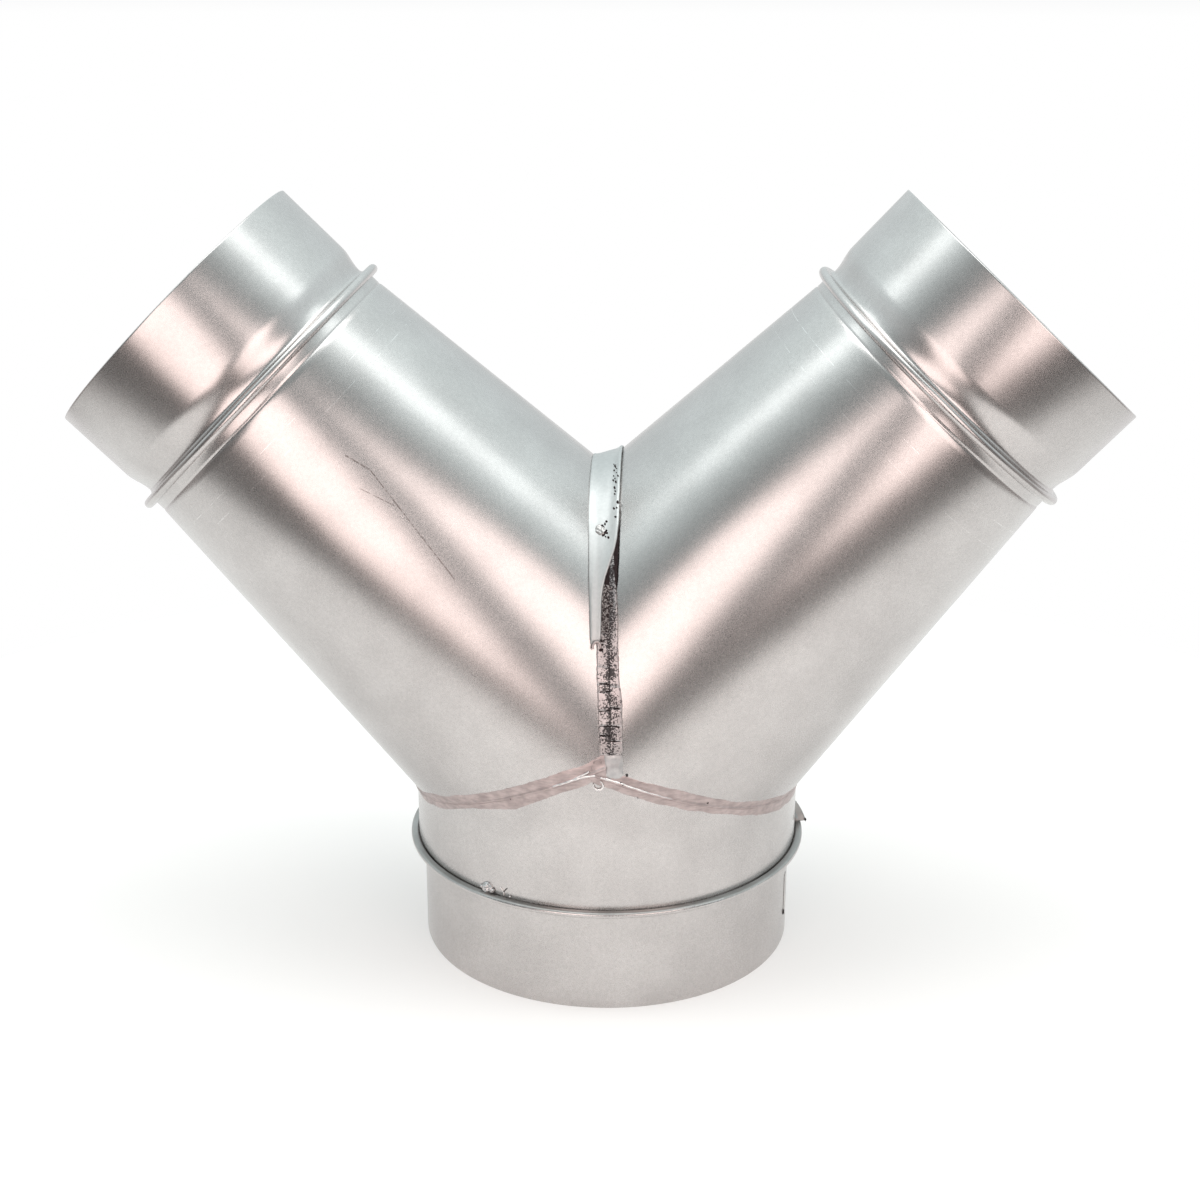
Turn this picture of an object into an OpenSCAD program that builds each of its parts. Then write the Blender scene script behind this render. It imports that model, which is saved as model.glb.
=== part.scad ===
// Dust extraction wye in galvanised sheet: one round inlet at the bottom and two
// round outlets on raised branches, rolled, seamed and sealed by hand.
// Millimetres, +Z up. The origin is the centre of the bottom rim. The three axes lie
// in the XZ plane and meet at one point, and every tube is tangent to one sphere
// about that point, so each mitre between two tubes is flat.

/* [Inlet] */

// Outside diameter of the bottom spigot
inlet_d = 125; // [100:0.5:160]
// Height from the bottom rim to the top of the folded ring
inlet_height = 36; // [26:0.5:60]

/* [Trunk] */

// How far the trunk sleeve stands outside the spigot, on the radius
trunk_step = 2; // [1.6:0.1:3]
// Height from the folded ring to the point where the three axes meet
sleeve_height = 41.5; // [36:0.5:70]

/* [Left branch] */

// Lean of the left axis from the vertical, in degrees
left_angle = 45.5; // [38:0.25:52]
// Outside diameter of the left outlet spigot
left_outlet_d = 100; // [80:0.5:110]
// How much smaller the cone ends than the left spigot, on the radius
left_step = 0; // [0:0.1:1.2]
// Distance from the meeting point to the left lock seam
left_reach = 155; // [135:0.5:200]
// Length of the left spigot beyond its lock seam
left_spigot_length = 38.5; // [28:0.5:60]

/* [Right branch] */

// Lean of the right axis from the vertical, in degrees
right_angle = 42.75; // [38:0.25:52]
// Outside diameter of the right outlet spigot
right_outlet_d = 100; // [80:0.5:110]
// How much smaller the cone ends than the right spigot, on the radius
right_step = 1; // [0:0.1:1.2]
// Distance from the meeting point to the right lock seam
right_reach = 152; // [135:0.5:200]
// Length of the right spigot beyond its lock seam
right_spigot_length = 37.5; // [28:0.5:60]

/* [Sheet] */

// Thickness of the galvanised sheet
sheet = 0.6; // [0.5:0.05:0.8]
// Width of the lap where each rolled sheet closes on itself
lap_width = 8; // [6:0.5:14]
// Direction of the trunk's lap round its axis, in degrees from the right
trunk_lap_at = 150; // [120:5:160]
// Direction of the left branch's lap round its axis, in degrees
left_lap_at = 130; // [110:5:150]
// Direction of the right branch's lap round its axis, in degrees
right_lap_at = 40; // [30:5:70]
// Width of the trunk's tongue inside each branch, above the mitre
mitre_tongue = 4; // [2:0.5:6]
// Air left between two sheets that lie on each other
sheet_gap = 0.05; // [0.02:0.01:0.1]

/* [Mitre trimming] */

// How far the left mitre was cut above the true one, by hand, at its middle
left_lift = 2.3; // [1:0.1:2.6]
// How far above the true one it is at its outer end
left_edge_lift = 0.3; // [0.2:0.05:0.5]

/* [Lock beads on the outlets] */

// Height of the rolled bead above the end of the cone
bead_height = 3.4; // [3.2:0.1:4.5]
// Width of the rolled bead along the tube
bead_width = 3; // [2.8:0.1:4]
// Depth of the waist drawn in beside the bead
waist_depth = 1.4; // [1.4:0.1:2]
// Length of the waist's blend back out to the spigot
waist_length = 8.8; // [6:0.1:12]
// Radius of the bend between waist and bead
bead_foot = 1.3; // [1:0.1:1.8]
// Width of the land pressed round the end of the cone
land_width = 2.6; // [1.5:0.1:5]

/* [Folded ring on the inlet] */

// Reach of the folded ring outside the trunk sleeve
ring_reach = 2.7; // [2.4:0.1:4]
// Gap left between the folded edge and the sleeve
ring_gap = 0.65; // [0.3:0.05:0.9]
// Arc of the ring where the fold was left standing, in degrees
open_arc = 15; // [8:1:30]
// Height of the sheet left standing there, above the ring
standing_height = 3.4; // [2:0.1:5]
// Height of the corner that stands at the end of the fold
corner_height = 7; // [4:0.1:9]
// Reach of that corner beyond the folded ring
corner_reach = 1.6; // [0.4:0.1:2.5]

/* [Seam between the branches] */

// Distance of the open slit to the right of the true seam
slit_offset = 3.35; // [2:0.05:4]
// Width of the left sheet's edge pressed flat beside the slit
left_edge_width = 4; // [3.8:0.1:5]
// Width of the right sheet's edge pressed flat beside the slit
right_edge_width = 3.4; // [2.5:0.1:4]
// Width of the slit
slit_width = 0.3; // [0.2:0.05:0.5]
// Height of the pressed edges above the meeting point at their lower end
edge_foot = 12; // [10:0.5:20]
// Spacing of the snipped tabs along the slit
tab_pitch = 6.5; // [5:0.5:12]
// Width of the lip over the crotch, to the left of the seam
lip_left = 3; // [2:0.1:5]
// Width of the lip over the crotch, to the right of the seam
lip_right = 7; // [5:0.1:9]
// Width over which the lip lies on the right branch
lip_bearing = 1.5; // [0.5:0.1:3]
// Drop from the crotch to where the lip starts to narrow
lip_shoulder = 12; // [8:0.5:16]
// Drop from the crotch to where the lip has narrowed
lip_neck = 26; // [20:0.5:30]
// Drop from the crotch to the lip's lower tip
lip_tip = 41; // [34:0.5:46]

/* [Sealer and solder] */

// Width of the sealer smeared up the branches
smear_up = 3.4; // [2:0.1:4.5]
// Width of the sealer smeared down the trunk
smear_down = 2.8; // [1.5:0.1:4]
// Thickness of the smear
smear_thickness = 0.25; // [0.15:0.05:0.4]
// Height of the sealer ridge on the mitre
ridge_height = 0.8; // [0.6:0.1:1.2]
// Width of that ridge
ridge_width = 1.2; // [0.8:0.1:2]
// Thickness of the solder over the foot of the centre seam
solder_thickness = 0.9; // [0.5:0.1:1.2]
// Radius of the solder dab on the ring
dab_radius = 2.5; // [2:0.1:3.5]
// Place of that dab round the ring, in degrees from the right
dab_angle = -124; // [-160:1:-20]

/* [Hidden] */

$fn = 120;

LEFT = -1;
RIGHT = 1;

inlet_r = inlet_d / 2;
trunk_r = inlet_r + trunk_step;
axis_z = inlet_height + sleeve_height;
far = 4 * (trunk_r + max(left_reach, right_reach));

// Values that depend on the side
function of_side(side, a, b) = side == LEFT ? a : b;
function lean(side) = of_side(side, left_angle, right_angle);
function outlet_r(side) = of_side(side, left_outlet_d, right_outlet_d) / 2;
function end_r(side) = outlet_r(side) - of_side(side, left_step, right_step);
function reach(side) = of_side(side, left_reach, right_reach);
function spigot_length(side) = of_side(side, left_spigot_length, right_spigot_length);
function lap_at(side) = of_side(side, left_lap_at, right_lap_at);

// Half angle of a cone that is tangent to the sphere and ends at its own radius
function taper(side) =
    atan2(reach(side), end_r(side)) - acos(trunk_r / norm([end_r(side), reach(side)]));

// Radius of that cone at a distance along its axis, for a skin set out by grow
function cone_r(side, along, grow) =
    (trunk_r + grow - along * sin(taper(side))) / cos(taper(side));

// Slope and height of the flat mitre between the trunk and a branch
function true_slope(side) = atan(sin(lean(side)) / (cos(taper(side)) + cos(lean(side))));
function true_height(side) =
    trunk_r * sin(taper(side)) / (cos(taper(side)) + cos(lean(side)));
function mitre_slope(side) =
    atan(tan(true_slope(side)) + of_side(side, (left_lift - left_edge_lift) / trunk_r, 0));
function mitre_height(side) = true_height(side) + of_side(side, left_lift, 0);

// The line where the two true mitres meet, and the crotch above it
meet_x = (true_height(RIGHT) - true_height(LEFT)) / (tan(true_slope(LEFT)) + tan(true_slope(RIGHT)));
meet_z = true_height(LEFT) + meet_x * tan(true_slope(LEFT));
inner_left = left_angle + taper(LEFT);
inner_right = right_angle + taper(RIGHT);
crotch_z = trunk_r * (cos(inner_left) + cos(inner_right)) / sin(inner_left + inner_right);
crotch_x = (trunk_r - crotch_z * sin(inner_left)) / cos(inner_left);
seam_tilt = atan2(crotch_x - meet_x, crotch_z - meet_z);

// Folded ring: three sheets on each other inside a round fold
ring_outer_r = trunk_r + ring_reach;
ring_depth = 3 * sheet + 2 * sheet_gap;
fold_r = ring_depth / 2;
fold_centre_r = ring_outer_r - fold_r;
ring_floor = inlet_height - ring_depth;
fold_root = sheet / 6;
flange_floor = ring_floor + sheet + sheet_gap;

// Lock bead: distances along the tube from the lock seam
cone_start = -trunk_r / 4;
bead_start = 0.4;
crest_r = bead_width / 2;
crest_at = bead_start + crest_r;
flange_at = bead_start + sheet + 2 * sheet_gap;
foot_at = bead_start + bead_width + bead_foot;
bead_edge = 0.9;

// Direction of the laps: the inlet's is at the right, those of the branches at the back
lap_back = 4;

module at_branch(side) {
    translate([0, 0, axis_z])
        rotate([0, side * lean(side), 0])
            children();
}

module at_seam() {
    translate([meet_x, 0, axis_z + meet_z])
        rotate([0, seam_tilt, 0])
            children();
}

// Slab between two heights over the mitre of one side
module over_mitre(side, from, to) {
    translate([0, 0, axis_z + mitre_height(side)])
        rotate([0, side * mitre_slope(side), 0])
            translate([-far / 2, -far / 2, from])
                cube([far, far, to - from]);
}

// Slab between two distances to the right of the seam between the branches
module beside_seam(from, to, low, high) {
    at_seam()
        translate([from, -far / 2, low])
            cube([to - from, far, high - low]);
}

module own_half(side) {
    if (side == LEFT)
        beside_seam(-far / 2, 0, -far / 2, far / 2);
    else
        beside_seam(0, far / 2, -far / 2, far / 2);
}

// Solid cone under a branch's skin, set out by grow
module cone_core(side, grow) {
    at_branch(side)
        translate([0, 0, cone_start])
            cylinder(h = reach(side) - land_width - cone_start,
                r1 = cone_r(side, cone_start, grow),
                r2 = cone_r(side, reach(side) - land_width, grow));
}

module trunk_core(grow) {
    translate([0, 0, inlet_height])
        cylinder(h = axis_z, r = trunk_r + grow);
}

// Part of a ring in the (radius, height) plane, between two directions
module arc_strip(centre, inner, outer, from, to) {
    reach_out = 2 * outer;
    middle = (from + to) / 2;
    translate(centre)
        intersection() {
            difference() {
                circle(outer);
                circle(inner);
            }
            polygon([[0, 0],
                reach_out * [cos(from), sin(from)],
                reach_out * [cos(middle), sin(middle)],
                reach_out * [cos(to), sin(to)]]);
        }
}

// Bottom spigot with the folded ring that grips the trunk
module inlet_profile() {
    translate([inlet_r - sheet, 0])
        square([sheet, ring_floor + sheet]);
    translate([inlet_r - sheet, ring_floor])
        square([fold_centre_r - inlet_r + sheet, sheet]);
    arc_strip([fold_centre_r, ring_floor + fold_r], fold_r - sheet, fold_r, -90, 90);
    translate([trunk_r + ring_gap, inlet_height - sheet])
        square([fold_centre_r - trunk_r - ring_gap, sheet]);
}

// Where the fold was left open the sheet stands up and leans on the sleeve
module standing_profile() {
    foot_r = fold_centre_r - fold_root;
    inner_r = fold_centre_r + sheet_gap;
    polygon([[foot_r, ring_floor + sheet / 2],
        [foot_r + sheet, ring_floor + sheet / 2],
        [foot_r + sheet, inlet_height],
        [trunk_r + sheet + 2 * sheet_gap, inlet_height + standing_height],
        [trunk_r + sheet_gap, inlet_height + standing_height],
        [inner_r, inlet_height - sheet],
        [inner_r, flange_floor - sheet_gap],
        [foot_r, flange_floor - sheet_gap - fold_root]]);
}

// What is cut from the folded ring where it was left open
module opened_fold() {
    clear = 2 * ring_reach;
    polygon([[trunk_r, flange_floor],
        [fold_centre_r, flange_floor],
        [fold_centre_r, flange_floor - sheet_gap - fold_root],
        [fold_centre_r + clear, flange_floor - sheet_gap - fold_root],
        [fold_centre_r + clear, flange_floor + clear],
        [trunk_r, flange_floor + clear]]);
}

module fold_corner() {
    rotate([90, 0, 0])
        linear_extrude(height = sheet, center = true)
            polygon([[trunk_r + ring_gap, inlet_height - sheet / 2],
                [ring_outer_r, inlet_height - sheet],
                [ring_outer_r + corner_reach, inlet_height],
                [trunk_r + sheet_gap + sheet, inlet_height + corner_height],
                [trunk_r + sheet_gap, inlet_height + corner_height],
                [trunk_r + sheet_gap, inlet_height]]);
}

// Second layer of a rolled tube where its sheet laps itself, kept inside the bore
module tube_lap(radius, length, start) {
    overlap = sheet / 5;
    rotate([0, 0, start])
        rotate_extrude(angle = lap_width / radius * 180 / PI)
            translate([radius - 2 * sheet, 0])
                square([sheet + overlap, length]);
}

// Fine line that the lapped edge draws down the outside of a tube
module lap_line(radius, length) {
    line_depth = sheet / 4;
    line_width = sheet / 2;
    translate([radius - line_depth, -line_width / 2, 0])
        cube([sheet, line_width, length]);
}

module trunk_spigot() {
    fold_start = 3;
    color("silver")
        rotate([0, 0, fold_start]) {
            difference() {
                rotate_extrude() inlet_profile();
                rotate_extrude(angle = open_arc) opened_fold();
                rotate([0, 0, -fold_start - lap_back])
                    lap_line(inlet_r, ring_floor - sheet);
            }
            rotate_extrude(angle = open_arc) standing_profile();
            tube_lap(inlet_r, ring_floor, -fold_start - lap_back);
            fold_corner();
        }
}

// Trunk sleeve: its foot is turned out into the ring, its top is mitred both ways
module sleeve_profile() {
    foot_bend = 0.9 * ring_gap;
    translate([trunk_r - sheet, flange_floor])
        square([sheet, axis_z + trunk_r - flange_floor]);
    translate([trunk_r - sheet, flange_floor])
        square([fold_centre_r - trunk_r + sheet, sheet]);
    difference() {
        translate([trunk_r, flange_floor + sheet])
            square(foot_bend);
        translate([trunk_r + foot_bend, flange_floor + sheet + foot_bend])
            circle(foot_bend);
    }
}

// Tongue of the trunk inside a branch along the mitre, and the bend that sets it in
module trunk_tongue(side) {
    margin = 1.5;
    intersection() {
        difference() {
            union() {
                intersection() {
                    cone_core(side, -sheet - sheet_gap);
                    over_mitre(side, 0, mitre_tongue);
                }
                intersection() {
                    trunk_core(-sheet / 2);
                    over_mitre(side, -2 * sheet, 0);
                }
            }
            cone_core(side, -2 * sheet - sheet_gap);
        }
        if (side == LEFT)
            beside_seam(-far / 2, -margin, -far / 2, far / 2);
        else
            beside_seam(margin, far / 2, -far / 2, far / 2);
    }
}

module trunk() {
    color("silver") {
        for (side = [LEFT, RIGHT])
            intersection() {
                union() {
                    rotate_extrude() sleeve_profile();
                    translate([0, 0, flange_floor])
                        tube_lap(trunk_r, axis_z, trunk_lap_at);
                }
                over_mitre(side, -far / 2, 0);
                own_half(side);
            }
        trunk_tongue(LEFT);
        trunk_tongue(RIGHT);
    }
}

// Skin of a branch: cone, groove, pressed land and the flange held in the bead
module branch_profile(side) {
    length = reach(side);
    land_at = length - land_width;
    groove = sheet / 3;
    land_r = end_r(side) + groove / 2;
    flange_r = end_r(side) + bead_height - crest_r + sheet / 2;
    polygon([[cone_r(side, cone_start, 0), cone_start],
        [cone_r(side, land_at - 2 * groove, 0), land_at - 2 * groove],
        [cone_r(side, land_at - groove, -groove), land_at - groove],
        [land_r, land_at],
        [land_r, length + flange_at],
        [flange_r, length + flange_at],
        [flange_r, length + flange_at + sheet],
        [land_r - sheet, length + flange_at + sheet],
        [land_r - sheet, land_at],
        [cone_r(side, land_at - 2 * groove, -sheet), land_at - 2 * groove],
        [cone_r(side, cone_start, -sheet), cone_start]]);
}

// Second layer where the cone's own sheet laps, inside and towards the back
module cone_lap(side) {
    lap_end = reach(side) - 2 * land_width;
    overlap = sheet / 5;
    rotate([0, 0, lap_at(side)])
        rotate_extrude(angle = lap_width / end_r(side) * 180 / PI)
            polygon([[cone_r(side, cone_start, -2 * sheet), cone_start],
                [cone_r(side, cone_start, overlap - sheet), cone_start],
                [cone_r(side, lap_end, overlap - sheet), lap_end],
                [cone_r(side, lap_end, -2 * sheet), lap_end]]);
}

module branch_skin(side) {
    intersection() {
        union() {
            at_branch(side) {
                rotate_extrude() branch_profile(side);
            }
            intersection() {
                at_branch(side) cone_lap(side);
                over_mitre(side, mitre_tongue + sheet, far / 2);
            }
        }
        over_mitre(side, 0, far / 2);
        own_half(side);
    }
}

// Outline of the lip in front view, measured from the seam; low and high as heights
module lip_outline() {
    crotch = crotch_z - meet_z;
    tongue_left = 2 * lip_left / 3;
    tongue_right = lip_right / 8;
    narrowing = 2 * (lip_neck - lip_shoulder) / 7;
    polygon([[-tongue_left, crotch - lip_tip],
        [tongue_right, crotch - lip_tip],
        [tongue_right, crotch - lip_neck],
        [lip_right / 2, crotch - lip_neck + narrowing],
        [lip_right, crotch - lip_shoulder],
        [lip_right, crotch + far / 4],
        [-lip_left, crotch + far / 4],
        [-lip_left, crotch - lip_shoulder]]);
}

module through_lip_outline(grow) {
    at_seam()
        rotate([90, 0, 0])
            linear_extrude(height = far, center = true)
                if (grow > 0)
                    union() {
                        translate([grow, 0]) lip_outline();
                        translate([-grow, 0]) lip_outline();
                        translate([0, -grow]) lip_outline();
                    }
                else
                    lip_outline();
}

// The lip bridges the valley between the branches as one arch that rises to the right.
// It springs from the left cone, lies on the right cone, and follows the seam down.
module lip_arch() {
    steps = 60;
    margin = 6;
    layers = 2 * sheet - 2 * sheet_gap;
    sunk = sheet / 3;
    span_right = lip_right - lip_bearing;
    rise = (span_right / tan(inner_right) - lip_left / tan(inner_left)) / (lip_left + span_right);
    slope = atan(rise);
    seam_low = -trunk_r / sin((left_angle + right_angle - taper(LEFT) - taper(RIGHT)) / 2);
    seam_mid = (crotch_z + seam_low) / 2;
    tip_share = (crotch_z - lip_tip - seam_mid) / (crotch_z - seam_mid);
    top = (crotch_z + lip_left / tan(inner_left)) * cos(slope) + (lip_left - crotch_x) * sin(slope);
    tip = (crotch_z - lip_tip) * cos(slope);
    half_height = (top - tip) / (1 - tip_share);
    half_width = trunk_r + sheet;
    first = asin(tip_share) - margin;
    translate([0, 0, axis_z])
        rotate([0, -slope, 0])
            translate([-far / 8, 0, top - half_height - sunk])
                rotate([90, 0, 90])
                    linear_extrude(height = far / 4)
                        polygon(concat(
                            arch_points(half_width - sunk + layers, half_height + layers, first, steps),
                            arch_points(half_width - sunk, half_height, 180 - first, steps)));
}

// Points of half an ellipse, from one springing to the other
function arch_points(half_width, half_height, from, steps) =
    [for (k = [0 : steps])
        let (at = from + (180 - 2 * from) * k / steps)
            [half_width * cos(at), half_height * sin(at)]];

// Edges of the two sheets, turned out along the seam and pressed flat to the right
module pressed_edge(from, to, top) {
    lift = sheet + sheet_gap;
    snip = sheet;
    low = edge_foot - meet_z;
    difference() {
        intersection() {
            union() {
                cone_core(LEFT, lift);
                cone_core(RIGHT, lift);
            }
            beside_seam(from, to, low, top);
        }
        for (high = [low + tab_pitch / 2 : tab_pitch : crotch_z - meet_z - lip_tip])
            beside_seam(slit_offset - right_edge_width / 2, slit_offset + right_edge_width / 2,
                high, high + snip);
    }
}

module left_branch() {
    color("lightsteelblue") {
        branch_skin(LEFT);
        difference() {
            union() {
                difference() {
                    pressed_edge(slit_offset - left_edge_width - slit_width / 2,
                        slit_offset - slit_width / 2, crotch_z - meet_z - lip_shoulder);
                    through_lip_outline(0);
                }
                intersection() {
                    lip_arch();
                    through_lip_outline(0);
                }
            }
            cone_core(LEFT, -sheet / 2);
            cone_core(RIGHT, sheet_gap);
        }
    }
}

module right_branch() {
    color("lightsteelblue") {
        branch_skin(RIGHT);
        difference() {
            pressed_edge(slit_offset + slit_width / 2, slit_offset + right_edge_width + slit_width / 2,
                crotch_z - meet_z - lip_shoulder);
            cone_core(RIGHT, -sheet / 2);
            through_lip_outline(2 * sheet_gap);
        }
    }
}

// Points of the blend between waist and wall, up the tube or down it
function blend_points(wall, steps, way) =
    [for (k = [0 : steps])
        let (share = way > 0 ? k / steps : 1 - k / steps)
            [wall - waist_depth * (1 + cos(180 * share)) / 2, foot_at + waist_length * share]];

// Outlet spigot: bead hooked over the flange, waist beside it, plain wall to the rim
module spigot_profile(side) {
    wall_r = outlet_r(side);
    waist_r = wall_r - waist_depth;
    blend_steps = 10;
    crest_centre = end_r(side) + bead_height - crest_r;
    bead_end = bead_start + bead_width;
    translate([wall_r - sheet, foot_at + waist_length])
        square([sheet, spigot_length(side) - foot_at - waist_length]);
    polygon(concat(blend_points(wall_r, blend_steps, 1), blend_points(wall_r - sheet, blend_steps, -1)));
    arc_strip([waist_r + bead_foot, foot_at], bead_foot, bead_foot + sheet, 180, 270);
    translate([waist_r + bead_foot, bead_end - sheet])
        square([crest_centre - waist_r - bead_foot, sheet]);
    arc_strip([crest_centre, crest_at], crest_r - sheet, crest_r, -90, 90);
    translate([end_r(side) + bead_edge, bead_start])
        square([crest_centre - end_r(side) - bead_edge, sheet]);
}

module outlet_spigot(side) {
    wall_at = foot_at + waist_length;
    color("gainsboro")
        at_branch(side)
            translate([0, 0, reach(side)]) {
                rotate_extrude() spigot_profile(side);
                translate([0, 0, wall_at])
                    tube_lap(outlet_r(side), spigot_length(side) - wall_at, lap_at(side));
            }
}

module left_spigot() {
    outlet_spigot(LEFT);
}

module right_spigot() {
    outlet_spigot(RIGHT);
}

// Sealer smeared along one mitre: thin on both sheets, with a ridge over the joint
module seam_sealer(side) {
    trunk_ridge_height = 3 * ridge_height / 4;
    color("tan")
        intersection() {
            union() {
                difference() {
                    union() {
                        intersection() {
                            cone_core(side, smear_thickness);
                            over_mitre(side, 0, smear_up);
                        }
                        intersection() {
                            cone_core(side, ridge_height);
                            over_mitre(side, 0, ridge_width);
                        }
                    }
                    cone_core(side, 0);
                }
                difference() {
                    union() {
                        intersection() {
                            trunk_core(smear_thickness);
                            over_mitre(side, -smear_down, 0);
                        }
                        intersection() {
                            trunk_core(trunk_ridge_height);
                            over_mitre(side, -ridge_width / 2, 0);
                        }
                    }
                    trunk_core(sheet_gap);
                }
            }
            own_half(side);
        }
}

module left_seam_sealer() {
    seam_sealer(LEFT);
}

module right_seam_sealer() {
    seam_sealer(RIGHT);
}

// Solder over the lower end of the slit, front and back
module seam_solder() {
    color("dimgray")
        intersection() {
            difference() {
                cone_core(RIGHT, solder_thickness);
                cone_core(RIGHT, 0);
            }
            beside_seam(slit_offset - right_edge_width / 2, slit_offset + right_edge_width, -far / 2,
                edge_foot - meet_z - sheet_gap);
            over_mitre(RIGHT, smear_up + sheet_gap, far / 2);
        }
}

// Solder dab that fills the gap between the ring's fold and the sleeve
module ring_solder() {
    color("dimgray")
        difference() {
            rotate([0, 0, dab_angle])
                translate([trunk_r + ring_gap / 2, 0, inlet_height])
                    sphere(r = dab_radius);
            translate([0, 0, ring_floor - dab_radius])
                cylinder(h = 4 * dab_radius + ring_depth, r = trunk_r);
            rotate_extrude()
                translate([trunk_r - sheet, ring_floor - dab_radius])
                    square([ring_reach + dab_radius + sheet, ring_depth + dab_radius]);
        }
}

trunk_spigot();
trunk();
left_branch();
right_branch();
left_spigot();
right_spigot();
left_seam_sealer();
right_seam_sealer();
seam_solder();
ring_solder();
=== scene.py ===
# %% [markdown]
# # A sheet-metal wye in Blender
# The object is a dust extraction wye: one round inlet at the bottom and two raised
# branches, rolled from thin galvanised sheet and joined by folded seams, a smear of
# sealer and a little solder. The sizes come from a CAD model of the same object, loaded
# first as a frame. Each part is then built again as a smooth, rounded piece in the same
# place, because a silhouette and a long highlight show every facet of a coarse mesh.

# %% Load the frame
import math
import random
import bpy
import numpy as np
from mathutils import Matrix, Vector, noise


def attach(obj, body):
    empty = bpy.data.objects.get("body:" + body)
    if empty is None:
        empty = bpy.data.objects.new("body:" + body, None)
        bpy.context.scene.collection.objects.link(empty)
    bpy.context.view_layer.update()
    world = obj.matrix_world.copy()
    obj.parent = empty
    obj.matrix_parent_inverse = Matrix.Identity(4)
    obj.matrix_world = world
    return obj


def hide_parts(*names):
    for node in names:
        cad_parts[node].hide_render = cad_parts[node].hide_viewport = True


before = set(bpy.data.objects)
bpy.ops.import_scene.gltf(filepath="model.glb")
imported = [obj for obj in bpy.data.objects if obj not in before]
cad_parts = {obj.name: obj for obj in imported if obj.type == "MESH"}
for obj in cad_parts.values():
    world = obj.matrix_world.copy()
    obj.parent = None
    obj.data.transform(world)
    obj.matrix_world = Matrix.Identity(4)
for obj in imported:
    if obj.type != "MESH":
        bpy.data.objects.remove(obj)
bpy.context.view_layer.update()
print("CAD nodes:", sorted(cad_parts))

# %% [markdown]
# ## Sizes
# A sheet-metal worker thinks in radii, leans and lengths along an axis, so the same few
# numbers drive every piece. They are written in millimetres, as on a drawing, and become
# metres only when a mesh is made. All three tubes touch one sphere round the point where
# their axes meet. That makes the joint between any two of them flat, as on a real wye.

# %% Sizes of the wye, in millimetres
MM = 0.001
SHEET = 0.6
HALF = SHEET / 2
SHEET_GAP = 0.05
INLET_R = 62.5
TRUNK_R = 64.5
INLET_HEIGHT = 36.0
AXIS_Z = 77.5
LEFT, RIGHT = -1, 1
ACROSS, UP = (1, 0, 0), (0, 0, 1)
LEAN = {LEFT: math.radians(45.5), RIGHT: math.radians(42.75)}
OUTLET_R = {LEFT: 50.0, RIGHT: 50.0}
END_R = {LEFT: 50.0, RIGHT: 49.0}
REACH = {LEFT: 155.0, RIGHT: 152.0}
SPIGOT_LENGTH = {LEFT: 38.5, RIGHT: 37.5}
MITRE_LIFT = {LEFT: 2.3, RIGHT: 0.0}
MITRE_EDGE_LIFT = {LEFT: 0.3, RIGHT: 0.0}


def taper(side):
    """Half angle of a branch's cone, which touches the common sphere."""
    r, s = END_R[side], REACH[side]
    return math.atan2(s, r) - math.acos(TRUNK_R / math.hypot(r, s))


TAPER = {side: taper(side) for side in (LEFT, RIGHT)}


def cone_r(side, along):
    """Outside radius of a branch at a distance along its axis."""
    return (TRUNK_R - along * math.sin(TAPER[side])) / math.cos(TAPER[side])


def mitre(side):
    """Height at the middle and slope (a tangent) of the joint between trunk and branch."""
    both = math.cos(TAPER[side]) + math.cos(LEAN[side])
    height = TRUNK_R * math.sin(TAPER[side]) / both + MITRE_LIFT[side]
    slope = math.sin(LEAN[side]) / both + (MITRE_LIFT[side] - MITRE_EDGE_LIFT[side]) / TRUNK_R
    return height, slope


MITRE = {side: mitre(side) for side in (LEFT, RIGHT)}
TRUE_MITRE = {side: (MITRE[side][0] - MITRE_LIFT[side],
                     MITRE[side][1] - (MITRE_LIFT[side] - MITRE_EDGE_LIFT[side]) / TRUNK_R)
              for side in (LEFT, RIGHT)}
MEET_X = (TRUE_MITRE[RIGHT][0] - TRUE_MITRE[LEFT][0]) / (TRUE_MITRE[LEFT][1] + TRUE_MITRE[RIGHT][1])
MEET_Z = TRUE_MITRE[LEFT][0] + MEET_X * TRUE_MITRE[LEFT][1]
INNER = {side: LEAN[side] + TAPER[side] for side in (LEFT, RIGHT)}
CROTCH_Z = TRUNK_R * sum(math.cos(a) for a in INNER.values()) / math.sin(sum(INNER.values()))
CROTCH_X = (TRUNK_R - CROTCH_Z * math.sin(INNER[LEFT])) / math.cos(INNER[LEFT])
SEAM_TILT = math.atan2(CROTCH_X - MEET_X, CROTCH_Z - MEET_Z)
print("tapers (degrees):", {s: round(math.degrees(a), 2) for s, a in TAPER.items()})
print("crotch at x, z (mm):", round(CROTCH_X, 2), round(AXIS_Z + CROTCH_Z, 2))

# %% [markdown]
# ## Camera
# The camera stands in front and a little above, where it was for the picture. Its place,
# turn and lens were solved from the outlines of the tubes. A camera has to be in place
# before the lights are judged, because polished and satin metal mostly shows what is
# mirrored in it.

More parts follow.
